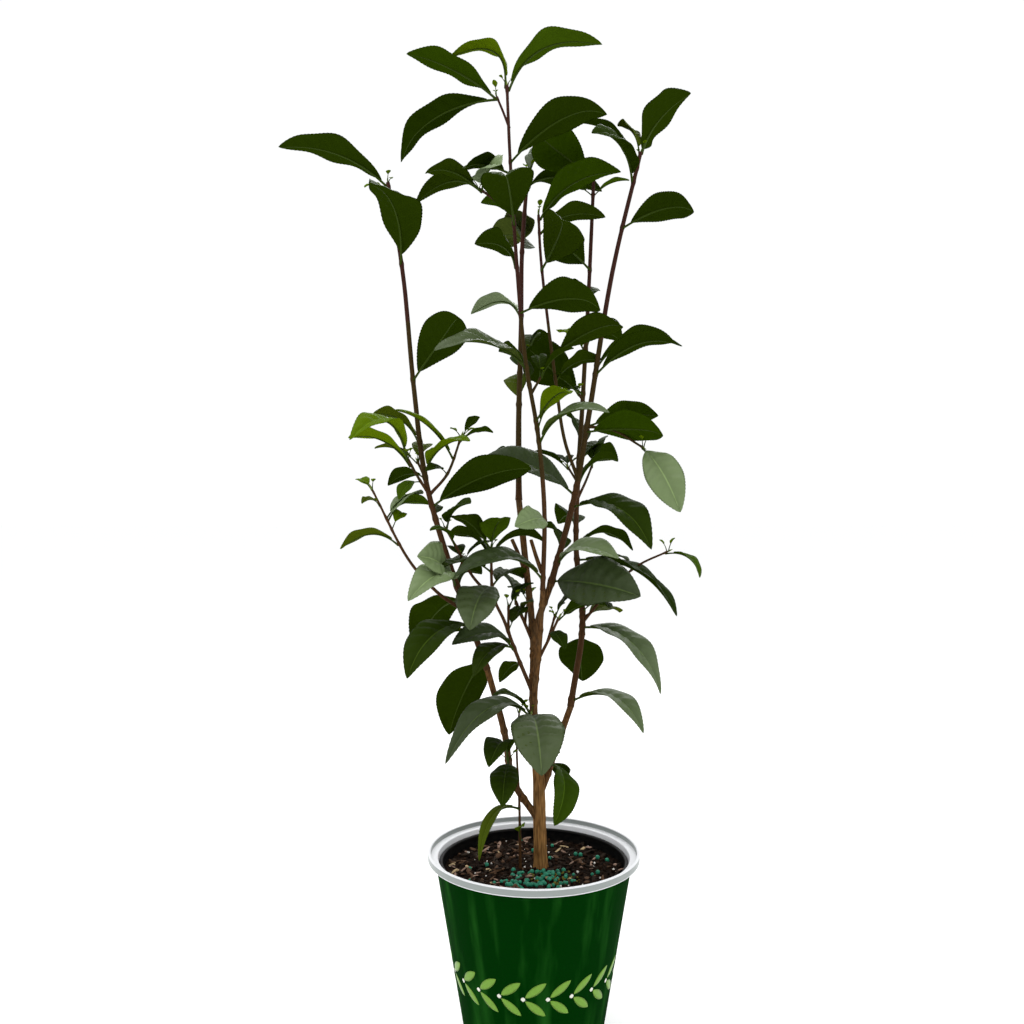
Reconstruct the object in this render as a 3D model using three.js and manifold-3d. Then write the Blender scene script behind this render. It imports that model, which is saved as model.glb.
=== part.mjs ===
// A young tea bush in a printed plastic pot. Millimetres, +Z up, the front faces -Y.
// The origin is the middle of the pot's flat underside.
import * as THREE from "three";
import { mergeVertices } from "three/addons/utils/BufferGeometryUtils.js";
import Module from "manifold-3d";

const wasm = await Module();
wasm.setup();

// Sizes of the pot
const CLEAR = 0.3;
const POT_HEIGHT = 165;
const POT_BASE_RADIUS = 54.5;
const POT_SHOULDER_RADIUS = 81.5;
const POT_SIDES = 40;
const LIP_HEIGHT = 6;
const LIP_RADIUS = 87.5;
const LIP_THICK = 2.4;
const LIP_LEDGE_DROP = 4.5;
const LIP_EASE = 0.5;
const LEDGE_EASE = 1.5;
const POT_WALL = 1.8;
const POT_FLOOR = 2.2;
const FOOT_CHAMFER = 1.5;
const SLEEVE_THICK = 0.6;
const SLEEVE_BOTTOM = 4;
const SLEEVE_TOP_DROP = 1.5;
const DRAIN_HOLES = 8;
const DRAIN_RADIUS = 4;
const DRAIN_CIRCLE = 36;
const DRAIN_SIDES = 16;
const LINER_WALL = 1.1;
const LINER_TOP = 157;
const LINER_BEAD = 2.5;
const LINER_BEAD_STEP = 0.5;
const SHOULDER_HEIGHT = POT_HEIGHT - LIP_HEIGHT;
const WALL_SLOPE = (POT_SHOULDER_RADIUS - POT_BASE_RADIUS) / SHOULDER_HEIGHT;

// Sizes of the soil and what lies on it
const SOIL_TOP = 148;
const SOIL_SIDES = 30;
const SOIL_RINGS = 5;
const SOIL_LUMP = 0.8;
const SOIL_PAD_RADIUS = 22;
const SOIL_PAD_FADE = 1.6;
const SOIL_PAD_RISE = 1.5;
const GRIT_MARGIN = 7;
const BARK_CHIPS = 18;
const CHIP_LENGTHS = [6, 12];
const CHIP_WIDTHS = [3, 6];
const CHIP_THICK = 2.2;
const CHIP_TILT = 0.15;
const CHIP_SINK = 0.3;
const PERLITE_GRAINS = 6;
const PERLITE_RADII = [1.4, 2.4];
const FEED_PRILLS = 14;
const PRILL_RADIUS = 1.9;
const PRILL_RISE = 0.2;
const PRILL_PATCH = { x: 4, y: -29, halfWidth: 32, halfDepth: 10 };

// Sizes of the wood and the leaves
const TRUNK_SIDES = 12;
const TRUNK_SHARES = [0, 0.03, 0.07, 0.14, 0.3, 0.5, 0.75, 1];
const ROOT_RIDGES = 4;
const ROOT_RIDGE_DEPTH = 0.5;
const LIMB_SIDES = 8;
const STEM_SIDES = 5;
const TWIG_SIDES = 3;
const RING_STEP = 30;
const LEAF_THICK_SHARE = 1 / 60;
const LEAF_THICK_LEAST = 1.2;
const LEAF_FOLD = 0.22;
const PETIOLE_LENGTH = 7;
const PETIOLE_HALF_WIDTH = 1.1;
const BLADE_STATIONS = [0.2, 0.5, 0.8];
const SMALL_BLADE_STATIONS = [0.3, 0.7];
const SMALL_LEAF = 40;
const LAST_LEAF = 0.995;
const SLIVER = 0.02;
const SPRIG_REACH = 62;
const SPRIG_ZONE = 0.6;
const SPRIG_FIRST = 0.3;
const SPRIG_TURNS = [20, 160];
const SPRIG_RISE = 53;
const SPRIG_RADII = [1.2, 0.9];
const SPRIG_TWIG_LENGTHS = [16, 26];
const SPRIG_LEAF_SPREAD = 50;
const SPRIG_LEAF_SET_BACK = 0.1;
const SPRIG_LEAF_LENGTHS = [26, 42];
const SPRIG_LEAF_RISES = [10, 50];
const SPRIG_LEAF_BOW = 0.14;
const SPRIG_LEAF_WIDTH = 0.42;

const COLOURS = {
  pot: 0xc9cdca,
  print: 0x06401a,
  liner: 0x17181a,
  soil: 0x2b1f19,
  bark: 0x73552f,
  bough: 0x5c4232,
  leaf: 0x2f4a1c,
};

// The trunk, in order from its foot. Radii run evenly from the first to the last.
const TRUNK = {
  route: [[6, 0, 149.8], [5, 0, 189], [4, 0, 225], [0, 0, 278]],
  radii: [5.6, 4.4],
  flare: 1.6,
  flareHeight: 9,
};

// The boughs, each from its parent's middle to its tip
const BOUGHS = {
  left_bough: {
    parent: "trunk",
    route: [[4, 0, 189], [-17, -5, 223], [-24, -9, 263], [-38, -14, 316]],
    radii: [2.9, 2.5],
  },
  leader_bough: {
    parent: "trunk",
    route: [[0.8, -2, 266], [0.5, -5.5, 292], [4, -10, 331], [7, -18, 381]],
    radii: [2.9, 2],
  },
  back_bough: {
    parent: "trunk",
    route: [[0, 2.2, 266], [-0.5, 7, 292], [0, 14, 336], [-6, 26, 399], [-12, 34, 455]],
    radii: [3, 2.7],
  },
  right_bough: {
    parent: "back_bough",
    route: [[0, 12, 328], [4, 12.5, 352], [15, 13, 384]],
    radii: [2.8, 2.7],
  },
  far_bough: {
    parent: "trunk",
    route: [[3.5, 0, 206], [12, 5, 226], [17, 9, 240], [32, 20, 279]],
    radii: [2.9, 2.7],
  },
};

// The masses of foliage, each on the limb that bears it; the sucker rises from the soil.
// A row of leaves gives, for one leaf: distance up its stem, turn from +X, length, rise of
// the tip, bow, roll and width as a share of the length. Angles are in degrees. Sprigs are
// small side shoots placed by a seeded rule.
const MASSES = {
  left_foliage: {
    parent: "left_bough",
    seed: 11,
    sprigs: 2,
    route: [
      [-38, -14, 316], [-65, -20, 392], [-87, -20, 467],
      [-98, -13, 545], [-108, -6, 642], [-121, 0, 718],
    ],
    radii: [2.5, 1.6],
    leaves: [
      [9, 130, 84, -55, 0.12, 20, 0.5],
      [35, 200, 52, -20, 0.14, 0, 0.5],
      [39, 235, 84, -20, 0.16, -10, 0.4],
      [62, 130, 82, -35, 0.16, 20, 0.46],
      [74, 240, 66, -5, 0.26, -20, 0.42],
      [71, 70, 52, 10, 0.16, -30, 0.44],
      [82, 245, 56, 20, 0.06, -60, 0.58],
      [141, 345, 88, 20, 0.14, -45, 0.4],
      [130, 105, 30, 25, 0.16, 30, 0.42],
      [170, 315, 58, 25, 0.12, 25, 0.44],
      [165, 140, 44, -5, 0.16, 20, 0.4],
      [194, 150, 54, 30, 0.14, 30, 0.4],
      [246, 305, 82, 30, 0.14, -25, 0.44],
      [343, 260, 86, 30, 0.16, -15, 0.52],
      [410, 180, 97, 20, 0.12, 22, 0.36],
      [404, 225, 26, 0, 0.16, 10, 0.34],
    ],
    twigs: [
      {
        route: [[-58, -18, 365], [-78, -26, 380], [-100, -32, 406], [-129, -34, 462]],
        radii: [1.5, 0.8],
        leaves: [
          [76, 160, 54, -5, 0.22, 20, 0.36],
          [100, 45, 46, 15, 0.16, -30, 0.42],
          [97, 50, 46, 30, 0.12, 0, 0.46],
          [110, 245, 26, 5, 0.16, -20, 0.42],
          [122, 130, 26, 25, 0.16, -20, 0.42],
          [89, 75, 28, 30, 0.16, 20, 0.42],
        ],
      },
      {
        route: [[-84, -20, 457], [-93, -28, 472], [-101, -32, 487]],
        radii: [1.3, 0.9],
        leaves: [
          [35, 230, 62, 15, 0.36, -10, 0.46],
          [30, 160, 62, 25, 0.14, 20, 0.42],
          [16, 235, 30, -30, 0.16, -20, 0.42],
        ],
      },
      {
        route: [[-84, -20, 459], [-70, -24, 475], [-59, -22, 505]],
        radii: [1.3, 0.9],
        leaves: [
          [22, 235, 26, 5, 0.16, -20, 0.42],
          [36, 215, 64, 35, 0.1, -30, 0.3],
          [50, 35, 34, 15, 0.14, -20, 0.36],
          [52, 310, 30, 35, 0.14, -20, 0.3],
        ],
      },
    ],
  },
  leader_foliage: {
    parent: "leader_bough",
    seed: 12,
    sprigs: 1,
    route: [
      [7, -18, 381], [8, -28, 445], [3, -34, 504],
      [-8, -36, 571], [-19, -30, 719], [-22, -26, 787],
    ],
    radii: [2, 1.2],
    leaves: [
      [405, 10, 90, 30, 0.22, -18, 0.36],
      [407, 160, 60, 35, 0.36, 16, 0.36],
      [346, 320, 95, 10, 0.18, -20, 0.34],
      [295, 265, 82, 10, 0.12, 10, 0.5],
      [297, 135, 44, 35, 0.16, 30, 0.42],
      [337, 235, 62, -12, 0.1, 20, 0.36],
      [260, 130, 62, 30, 0.16, 40, 0.46],
      [224, 315, 84, -5, 0.12, -38, 0.4],
      [180, 220, 88, 5, 0.14, -32, 0.36],
      [166, 120, 60, 35, 0.16, 30, 0.44],
      [131, 320, 42, 45, 0.14, -10, 0.3],
      [137, 300, 54, 20, 0.16, -20, 0.36],
      [121, 310, 78, 15, 0.14, 30, 0.28],
      [57, 240, 48, -5, 0.14, -50, 0.46],
      [10, 215, 84, 5, 0.2, -25, 0.34],
    ],
    twigs: [
      {
        route: [[-20, -28, 752], [-25, -28, 765], [-30, -28, 777]],
        radii: [1, 0.9],
        leaves: [
          [26, 170, 86, 30, 0.08, 20, 0.32],
          [26, 195, 98, -35, 0.15, 25, 0.3],
        ],
      },
      {
        route: [[-16, -32, 679], [-31, -34, 692], [-44, -36, 701]],
        radii: [1.1, 0.9],
        leaves: [
          [34, 225, 58, 0, 0.14, 20, 0.32],
          [34, 290, 48, 5, 0.12, 40, 0.6],
          [32, 155, 62, 0, 0.26, 25, 0.36],
        ],
      },
    ],
  },
  back_foliage: {
    parent: "back_bough",
    seed: 13,
    sprigs: 1,
    route: [[-12, 34, 455], [-12, 42, 525], [-10, 47, 604], [-9, 48, 675], [-4, 46, 743]],
    radii: [2.7, 1.6],
    leaves: [
      [277, 25, 76, 5, 0.2, -30, 0.34],
      [285, 65, 62, 45, 0.1, -10, 0.36],
      [163, 135, 66, 10, 0.22, 20, 0.36],
      [219, 115, 74, 25, 0.18, 40, 0.52],
      [252, 105, 70, -10, 0.18, 30, 0.42],
      [112, 65, 80, 25, 0.18, -30, 0.44],
      [84, 80, 76, 25, 0.18, -20, 0.44],
      [29, 110, 70, 0, 0.18, 30, 0.44],
    ],
    twigs: [],
  },
  right_foliage: {
    parent: "right_bough",
    seed: 14,
    sprigs: 1,
    route: [[15, 13, 384], [34, 8, 455], [46, 6, 523], [66, 4, 645], [89, 0, 743]],
    radii: [2.7, 1.6],
    leaves: [
      [3, 315, 92, -4, 0.04, 58, 0.5],
      [18, 310, 72, 5, 0.18, 30, 0.38],
      [23, 100, 54, 30, 0.14, 40, 0.44],
      [68, 315, 88, -20, 0.18, 15, 0.38],
      [85, 45, 60, 25, 0.16, -30, 0.36],
      [78, 183, 84, 22, 0.12, -40, 0.4],
      [132, 315, 80, -4, 0.06, -48, 0.42],
      [136, 345, 60, 8, 0.1, -50, 0.46],
      [188, 25, 80, 20, 0.16, -25, 0.4],
      [180, 320, 84, 10, 0.18, -22, 0.3],
      [304, 315, 72, 0, 0.14, -40, 0.38],
      [354, 150, 80, 40, 0.16, 10, 0.34],
      [342, 235, 68, 20, 0.14, -40, 0.5],
      [368, 125, 44, 50, 0.16, 10, 0.44],
      [368, 30, 82, 50, 0.1, -60, 0.48],
    ],
    twigs: [
      {
        route: [[44, 6, 516], [65, -6, 512], [89, -14, 497]],
        radii: [1.3, 0.9],
        leaves: [
          [53, 305, 68, -50, 0.14, 40, 0.44],
        ],
      },
      {
        route: [[37, 7, 473], [26, 3, 504], [18, -2, 555], [6, -4, 653], [4, -4, 690]],
        radii: [1.5, 1.1],
        leaves: [
          [217, 20, 88, 35, 0.14, -35, 0.48],
          [206, 25, 66, 20, 0.16, -30, 0.34],
          [175, 280, 78, 15, 0.14, -40, 0.5],
          [104, 310, 80, 10, 0.16, -30, 0.36],
          [84, 20, 46, 25, 0.16, -30, 0.44],
        ],
      },
    ],
  },
  far_foliage: {
    parent: "far_bough",
    seed: 15,
    sprigs: 1,
    route: [[32, 20, 279], [43, 32, 349], [38, 40, 417], [45, 50, 552], [49, 50, 623], [54, 44, 742]],
    radii: [2.7, 1.5],
    leaves: [
      [6, 315, 78, -10, 0.2, 0, 0.3],
      [62, 85, 62, -50, 0.06, 0, 0.66],
      [69, 320, 92, -30, 0.2, 15, 0.3],
      [82, 300, 40, 10, 0.14, -20, 0.6],
      [77, 45, 52, 0, 0.14, 20, 0.42],
      [127, 325, 105, -25, 0.16, -10, 0.3],
      [139, 30, 62, -5, 0.24, -20, 0.38],
      [152, 100, 70, 5, 0.16, 20, 0.42],
      [217, 100, 64, 40, 0.14, 40, 0.4],
      [212, 55, 70, 5, 0.16, -20, 0.36],
      [273, 225, 78, 25, 0.12, 45, 0.5],
      [313, 60, 80, 15, 0.16, -20, 0.42],
      [356, 100, 70, 15, 0.16, 20, 0.42],
      [382, 240, 62, 5, 0.14, 40, 0.54],
      [462, 230, 80, 10, 0.1, 45, 0.5],
      [447, 190, 34, 20, 0.1, 20, 0.5],
      [447, 350, 34, 20, 0.14, 0, 0.35],
      [310, 120, 50, 30, 0.14, 0, 0.5],
    ],
    twigs: [
      {
        route: [[43, 32, 349], [63, 26, 374], [88, 20, 398], [114, 16, 411]],
        radii: [1.4, 0.8],
        leaves: [
          [95, 310, 42, -25, 0.18, -10, 0.34],
          [63, 120, 26, 25, 0.16, 10, 0.34],
        ],
      },
      {
        route: [[39, 43, 455], [47, 50, 471], [53, 56, 485]],
        radii: [1.3, 0.9],
        leaves: [
          [35, 75, 60, 25, 0.16, -10, 0.4],
        ],
      },
    ],
  },
  fork_foliage: {
    parent: "trunk",
    seed: 16,
    sprigs: 0,
    route: [[0, 0, 270], [-1.5, -6, 274], [-2, -12, 279]],
    radii: [1.9, 1.5],
    leaves: [
      [13, 220, 90, -14, 0.32, -18, 0.28],
      [13, 275, 78, -22, 0.18, 0, 0.54],
      [13, 215, 44, 30, 0.16, -10, 0.3],
    ],
    twigs: [],
  },
  low_left_foliage: {
    parent: "left_bough",
    seed: 17,
    sprigs: 0,
    route: [[-19, -6, 232], [-21, -14, 242]],
    radii: [1.6, 1.3],
    leaves: [
      [11, 255, 58, 10, 0.3, 0, 0.42],
      [11, 265, 56, -20, 0.1, 0, 0.42],
    ],
    twigs: [],
  },
  low_right_foliage: {
    parent: "far_bough",
    seed: 18,
    sprigs: 0,
    route: [[13, 5.5, 229], [16, -1, 238]],
    radii: [1.6, 1.3],
    leaves: [
      [9, 270, 62, -35, 0.24, -40, 0.42],
      [9, 75, 44, -35, 0.1, 0, 0.42],
    ],
    twigs: [],
  },
  inner_left_foliage: {
    parent: "leader_bough",
    seed: 19,
    sprigs: 1,
    route: [[0.5, -4, 292], [-15, -10, 330], [-24, -14, 355], [-33, -16, 376], [-35, -16, 415]],
    radii: [1.8, 1],
    leaves: [
      [46, 235, 56, -15, 0.16, -10, 0.36],
      [44, 222, 66, 8, 0.2, -22, 0.38],
      [100, 255, 66, -25, 0.12, -10, 0.52],
      [122, 135, 56, 20, 0.16, 30, 0.38],
      [129, 230, 54, 30, 0.18, 20, 0.38],
      [130, 285, 46, 35, 0.1, 0, 0.55],
      [127, 40, 58, 10, 0.16, -30, 0.38],
      [31, 120, 40, -30, 0.16, 20, 0.36],
      [112, 220, 50, 5, 0.14, 0, 0.5],
      [100, 60, 52, 5, 0.14, 0, 0.5],
      [60, 60, 34, 30, 0.14, 0, 0.5],
    ],
    twigs: [
      {
        route: [[-32, -16, 373], [-49, -26, 392], [-61, -32, 414], [-71, -34, 432]],
        radii: [1.4, 0.9],
        leaves: [
          [73, 300, 48, 25, 0.12, 30, 0.46],
          [57, 235, 34, 25, 0.16, -20, 0.4],
        ],
      },
    ],
  },
  inner_back_foliage: {
    parent: "back_bough",
    seed: 20,
    sprigs: 1,
    route: [[0, 14, 334], [-9, 12, 355], [-15, 10, 370]],
    radii: [1.6, 1.1],
    leaves: [
      [36, 110, 56, 25, 0.12, 40, 0.44],
      [25, 295, 26, 35, 0.14, 10, 0.4],
    ],
    twigs: [],
  },
  inner_right_foliage: {
    parent: "leader_bough",
    seed: 21,
    sprigs: 1,
    route: [[3.2, -8.5, 322], [12, -12, 340], [20, -16, 358]],
    radii: [1.5, 1],
    leaves: [
      [39, 25, 40, 22, 0.1, -50, 0.6],
      [28, 285, 34, -15, 0.14, 10, 0.4],
    ],
    twigs: [],
  },
  sucker: {
    parent: "soil",
    seed: 22,
    sprigs: 0,
    route: [[-11, -4, 149.8], [-12, -8, 208], [-14, -10, 253], [-12, -10, 280]],
    radii: [1.2, 0.8],
    leaves: [
      [52, 235, 62, -25, 0.3, 0, 0.17],
      [26, 280, 22, 45, 0.14, 20, 0.44],
    ],
    twigs: [],
  },
};

const radians = (degrees) => THREE.MathUtils.degToRad(degrees);

// A seeded generator of numbers from 0 to 1
function seeded(seed) {
  let state = seed * 2654435761 % 4294967296;
  return () => {
    state = (state * 1664525 + 1013904223) % 4294967296;
    return state / 4294967296;
  };
}

// A Manifold solid from a closed three.js geometry
function toSolid(geometry) {
  const bare = new THREE.BufferGeometry();
  bare.setAttribute("position", geometry.getAttribute("position"));
  bare.setIndex(geometry.getIndex());
  const welded = mergeVertices(bare, 1e-4);
  return new wasm.Manifold(new wasm.Mesh({
    numProp: 3,
    vertProperties: new Float32Array(welded.getAttribute("position").array),
    triVerts: new Uint32Array(welded.getIndex().array),
  }));
}

// The largest piece of a solid that a cut may have left in several
function largest(solid) {
  return solid.decompose().reduce((a, b) => (a.volume() > b.volume() ? a : b));
}

// A three.js geometry from a Manifold solid
function toGeometry(solid) {
  const mesh = solid.getMesh();
  const geometry = new THREE.BufferGeometry();
  geometry.setAttribute("position", new THREE.BufferAttribute(mesh.vertProperties, 3));
  geometry.setIndex(new THREE.BufferAttribute(mesh.triVerts, 1));
  geometry.computeVertexNormals();
  return geometry;
}

// A solid skin over rings of points, all with the same count, closed at both ends. The far
// end runs out to the tip where one is given.
function skinRings(rings, tip) {
  const sides = rings[0].length;
  const middle = (ring) => ring.reduce((sum, p) => sum.add(p), new THREE.Vector3()).divideScalar(sides);
  const points = [...rings.flat(), middle(rings[0]), tip ?? middle(rings.at(-1))];
  const start = points.length - 2;
  const end = points.length - 1;
  const index = [];
  for (let side = 0; side < sides; side += 1) {
    const next = (side + 1) % sides;
    index.push(start, next, side);
    for (let ring = 0; ring < rings.length - 1; ring += 1) {
      const low = ring * sides;
      const high = low + sides;
      index.push(low + side, low + next, high + next);
      index.push(low + side, high + next, high + side);
    }
    const last = (rings.length - 1) * sides;
    index.push(end, last + side, last + next);
  }
  const geometry = new THREE.BufferGeometry().setFromPoints(points);
  geometry.setIndex(index);
  return toSolid(geometry);
}

// A turned solid from a profile of [radius, height] points that starts and ends on the axis
// or closes on itself
function turned(profile, sides) {
  const points = profile.map(([radius, height]) => new THREE.Vector2(radius, height));
  const geometry = new THREE.LatheGeometry(points, sides);
  geometry.rotateX(Math.PI / 2);
  return toSolid(geometry);
}

// The smooth line through a route's points
function lineOf(route) {
  const points = route.map((p) => new THREE.Vector3(...p));
  return new THREE.CatmullRomCurve3(points, false, "centripetal");
}

// Rings of a tapering stem round a line, with an even radius change
function stemRings(line, radii, sides, swell = 0) {
  const steps = Math.max(2, Math.ceil(line.getLength() / RING_STEP));
  const frames = line.computeFrenetFrames(steps, false);
  const rings = [];
  for (let step = 0; step <= steps; step += 1) {
    const share = step / steps;
    const radius = THREE.MathUtils.lerp(radii[0], radii[1], share) + swell;
    const centre = line.getPointAt(share);
    if (swell > 0 && step === 0) {
      centre.addScaledVector(frames.tangents[0], -swell);
    }
    if (swell > 0 && step === steps) {
      centre.addScaledVector(frames.tangents[steps], swell);
    }
    const ring = [];
    for (let side = 0; side < sides; side += 1) {
      const angle = side / sides * 2 * Math.PI;
      const point = centre.clone();
      point.addScaledVector(frames.normals[step], Math.cos(angle) * radius);
      point.addScaledVector(frames.binormals[step], Math.sin(angle) * radius);
      ring.push(point);
    }
    rings.push(ring);
  }
  return rings;
}

// A tapering stem with closed ends
function stem(route, radii, sides, swell = 0) {
  return skinRings(stemRings(lineOf(route), radii, sides, swell));
}

// The trunk: level rings, spread into root ridges at the foot
function trunkSolid(swell = 0) {
  const line = lineOf(TRUNK.route);
  const foot = TRUNK.route[0][2];
  const rings = TRUNK_SHARES.map((share) => {
    const centre = line.getPointAt(share);
    const spread = TRUNK.flare * Math.exp(-(centre.z - foot) / TRUNK.flareHeight * 2);
    const radius = THREE.MathUtils.lerp(TRUNK.radii[0], TRUNK.radii[1], share) + swell;
    const ring = [];
    for (let side = 0; side < TRUNK_SIDES; side += 1) {
      const angle = side / TRUNK_SIDES * 2 * Math.PI;
      const ridge = radius + spread * (1 + ROOT_RIDGE_DEPTH * Math.cos(angle * ROOT_RIDGES));
      const end = share === 1 ? swell : 0;
      ring.push(new THREE.Vector3(
        centre.x + Math.cos(angle) * ridge,
        centre.y + Math.sin(angle) * ridge,
        centre.z + end,
      ));
    }
    return ring;
  });
  return skinRings(rings);
}

// Half the width of a blade, as a share of its widest, from its base (0) to its tip (1)
function bladeShare(u) {
  return Math.sin(Math.PI * u ** 1.1) ** 0.75;
}

// One leaf from a row of the tables: a petiole that widens to a folded, bowed blade
function leafSolid(root, [, turn, length, rise, bow, roll, share]) {
  const along = new THREE.Vector3(
    Math.cos(radians(turn)) * Math.cos(radians(rise)),
    Math.sin(radians(turn)) * Math.cos(radians(rise)),
    Math.sin(radians(rise)),
  );
  const level = new THREE.Vector3(Math.sin(radians(turn)), -Math.cos(radians(turn)), 0);
  const side = level.applyAxisAngle(along, radians(roll));
  const up = new THREE.Vector3().crossVectors(side, along);
  const half = length * share / 2;
  const thick = Math.max(LEAF_THICK_LEAST, length * LEAF_THICK_SHARE);
  const neck = PETIOLE_LENGTH / length;
  const stations = [[0, PETIOLE_HALF_WIDTH], [neck, PETIOLE_HALF_WIDTH]];
  for (const u of length > SMALL_LEAF ? BLADE_STATIONS : SMALL_BLADE_STATIONS) {
    stations.push([neck + u * (1 - neck), half * bladeShare(u)]);
  }
  const midrib = (t) => root.clone()
    .addScaledVector(along, length * t)
    .addScaledVector(up, length * bow * 4 * t * (1 - t));
  const rings = stations.map(([t, wide]) => {
    const tangent = along.clone().addScaledVector(up, bow * 4 * (1 - 2 * t)).normalize();
    const normal = new THREE.Vector3().crossVectors(side, tangent);
    const lift = wide * LEAF_FOLD;
    const corners = [[-wide, lift], [0, thick / 2], [wide, lift], [0, -thick / 2]];
    return corners.map(([x, y]) => midrib(t).addScaledVector(side, x).addScaledVector(normal, y));
  });
  return skinRings(rings, midrib(1));
}

// Boxes that overlap, used to pass over solids that are far apart
function boxesMeet(a, b) {
  return [0, 1, 2].every((k) => a.min[k] < b.max[k] + CLEAR && b.min[k] < a.max[k] + CLEAR);
}

// Solids that are already placed, each with its node's name
const placed = [];
function claim(name, solid) {
  placed.push({ name, solid, box: solid.boundingBox() });
}

// Whether a solid comes within the clearance of anything outside its own node and parent
function touchesOthers(solid, name, parent) {
  const box = solid.boundingBox();
  return placed.some((other) => (
    other.name !== name
    && other.name !== parent
    && boxesMeet(box, other.box)
    && solid.minGap(other.solid, CLEAR) < CLEAR
  ));
}

const group = new THREE.Group();
group.name = "tea_bush";
function addNode(name, solid, colour, roughness) {
  const material = new THREE.MeshStandardMaterial({ color: colour, roughness, metalness: 0 });
  const mesh = new THREE.Mesh(toGeometry(solid), material);
  mesh.name = name;
  group.add(mesh);
}

// Radius of the printed face of the pot at a height
const faceRadius = (height) => POT_BASE_RADIUS + WALL_SLOPE * height;
const wallOuter = (height) => faceRadius(height) - SLEEVE_THICK - CLEAR;
const wallInner = (height) => wallOuter(height) - POT_WALL;

// The outer pot: a tapering tub with a stepped lip and drain holes
function outerPot() {
  const ledge = POT_HEIGHT - LIP_LEDGE_DROP;
  const profile = [
    [0, 0],
    [wallOuter(0) - FOOT_CHAMFER, 0],
    [wallOuter(FOOT_CHAMFER), FOOT_CHAMFER],
    [wallOuter(SHOULDER_HEIGHT), SHOULDER_HEIGHT],
    [LIP_RADIUS - LIP_EASE, SHOULDER_HEIGHT],
    [LIP_RADIUS, SHOULDER_HEIGHT + LIP_EASE],
    [LIP_RADIUS, POT_HEIGHT - LIP_EASE],
    [LIP_RADIUS - LIP_EASE, POT_HEIGHT],
    [LIP_RADIUS - LIP_THICK + LIP_EASE, POT_HEIGHT],
    [LIP_RADIUS - LIP_THICK, POT_HEIGHT - LIP_EASE],
    [LIP_RADIUS - LIP_THICK, ledge],
    [wallInner(ledge) + LEDGE_EASE, ledge],
    [wallInner(ledge - LEDGE_EASE), ledge - LEDGE_EASE],
    [wallInner(POT_FLOOR), POT_FLOOR],
    [0, POT_FLOOR],
  ];
  let pot = turned(profile, POT_SIDES);
  for (let hole = 0; hole < DRAIN_HOLES; hole += 1) {
    const angle = hole / DRAIN_HOLES * 2 * Math.PI;
    const deep = 4 * POT_FLOOR;
    const drill = new THREE.CylinderGeometry(DRAIN_RADIUS, DRAIN_RADIUS, deep, DRAIN_SIDES);
    drill.rotateX(Math.PI / 2);
    drill.translate(Math.cos(angle) * DRAIN_CIRCLE, Math.sin(angle) * DRAIN_CIRCLE, 0);
    pot = pot.subtract(toSolid(drill));
  }
  return pot;
}

// The printed sleeve: a thin cone that hugs the outside of the tub
function printedSleeve() {
  const top = SHOULDER_HEIGHT - SLEEVE_TOP_DROP;
  return turned([
    [faceRadius(SLEEVE_BOTTOM), SLEEVE_BOTTOM],
    [faceRadius(top), top],
    [faceRadius(top) - SLEEVE_THICK, top],
    [faceRadius(SLEEVE_BOTTOM) - SLEEVE_THICK, SLEEVE_BOTTOM],
    [faceRadius(SLEEVE_BOTTOM), SLEEVE_BOTTOM],
  ], POT_SIDES);
}

const linerBottom = POT_FLOOR + CLEAR;
const linerOuter = (height) => wallInner(height) - CLEAR;

// The black grower's pot inside, with a bead round its rim
function nurseryLiner() {
  const beadStart = LINER_TOP - LINER_BEAD;
  return turned([
    [0, linerBottom],
    [linerOuter(linerBottom), linerBottom],
    [linerOuter(LINER_TOP), LINER_TOP],
    [linerOuter(LINER_TOP) - LINER_WALL - LINER_BEAD_STEP, LINER_TOP],
    [linerOuter(beadStart) - LINER_WALL - LINER_BEAD_STEP, beadStart],
    [linerOuter(beadStart) - LINER_WALL, beadStart - LINER_BEAD_STEP],
    [linerOuter(linerBottom) - LINER_WALL, linerBottom + LINER_WALL],
    [0, linerBottom + LINER_WALL],
  ], POT_SIDES);
}

// Height of the soil: lumps that fade out on a level pad round the trunk
function soilHeight(x, y) {
  const broad = Math.sin(x * 0.21 + 1) * Math.sin(y * 0.17 + 2);
  const lump = broad + 0.5 * Math.sin(x * 0.43) * Math.cos(y * 0.39);
  const radius = Math.hypot(x, y);
  const faded = SOIL_PAD_RADIUS * SOIL_PAD_FADE;
  const away = THREE.MathUtils.smoothstep(radius, SOIL_PAD_RADIUS, faded);
  return SOIL_TOP + SOIL_PAD_RISE * (1 - away) + SOIL_LUMP * lump * away;
}

const soilInner = (height) => linerOuter(height) - LINER_WALL - LINER_BEAD_STEP - CLEAR;

// The bare soil: a plug that fills the liner, skinned from its underside to its top
function soilPlug() {
  const bottom = linerBottom + LINER_WALL + CLEAR;
  const ringAt = (radius, heightAt) => {
    const ring = [];
    for (let side = 0; side < SOIL_SIDES; side += 1) {
      const angle = side / SOIL_SIDES * 2 * Math.PI;
      const x = Math.cos(angle) * radius;
      const y = Math.sin(angle) * radius;
      ring.push(new THREE.Vector3(x, y, heightAt(x, y)));
    }
    return ring;
  };
  const rings = [ringAt(soilInner(bottom) - LINER_BEAD_STEP, () => bottom)];
  const rim = soilInner(SOIL_TOP - 2 * SOIL_LUMP);
  for (let ring = SOIL_RINGS; ring >= 1; ring -= 1) {
    rings.push(ringAt(rim * ring / SOIL_RINGS, soilHeight));
  }
  return skinRings(rings);
}

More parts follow.
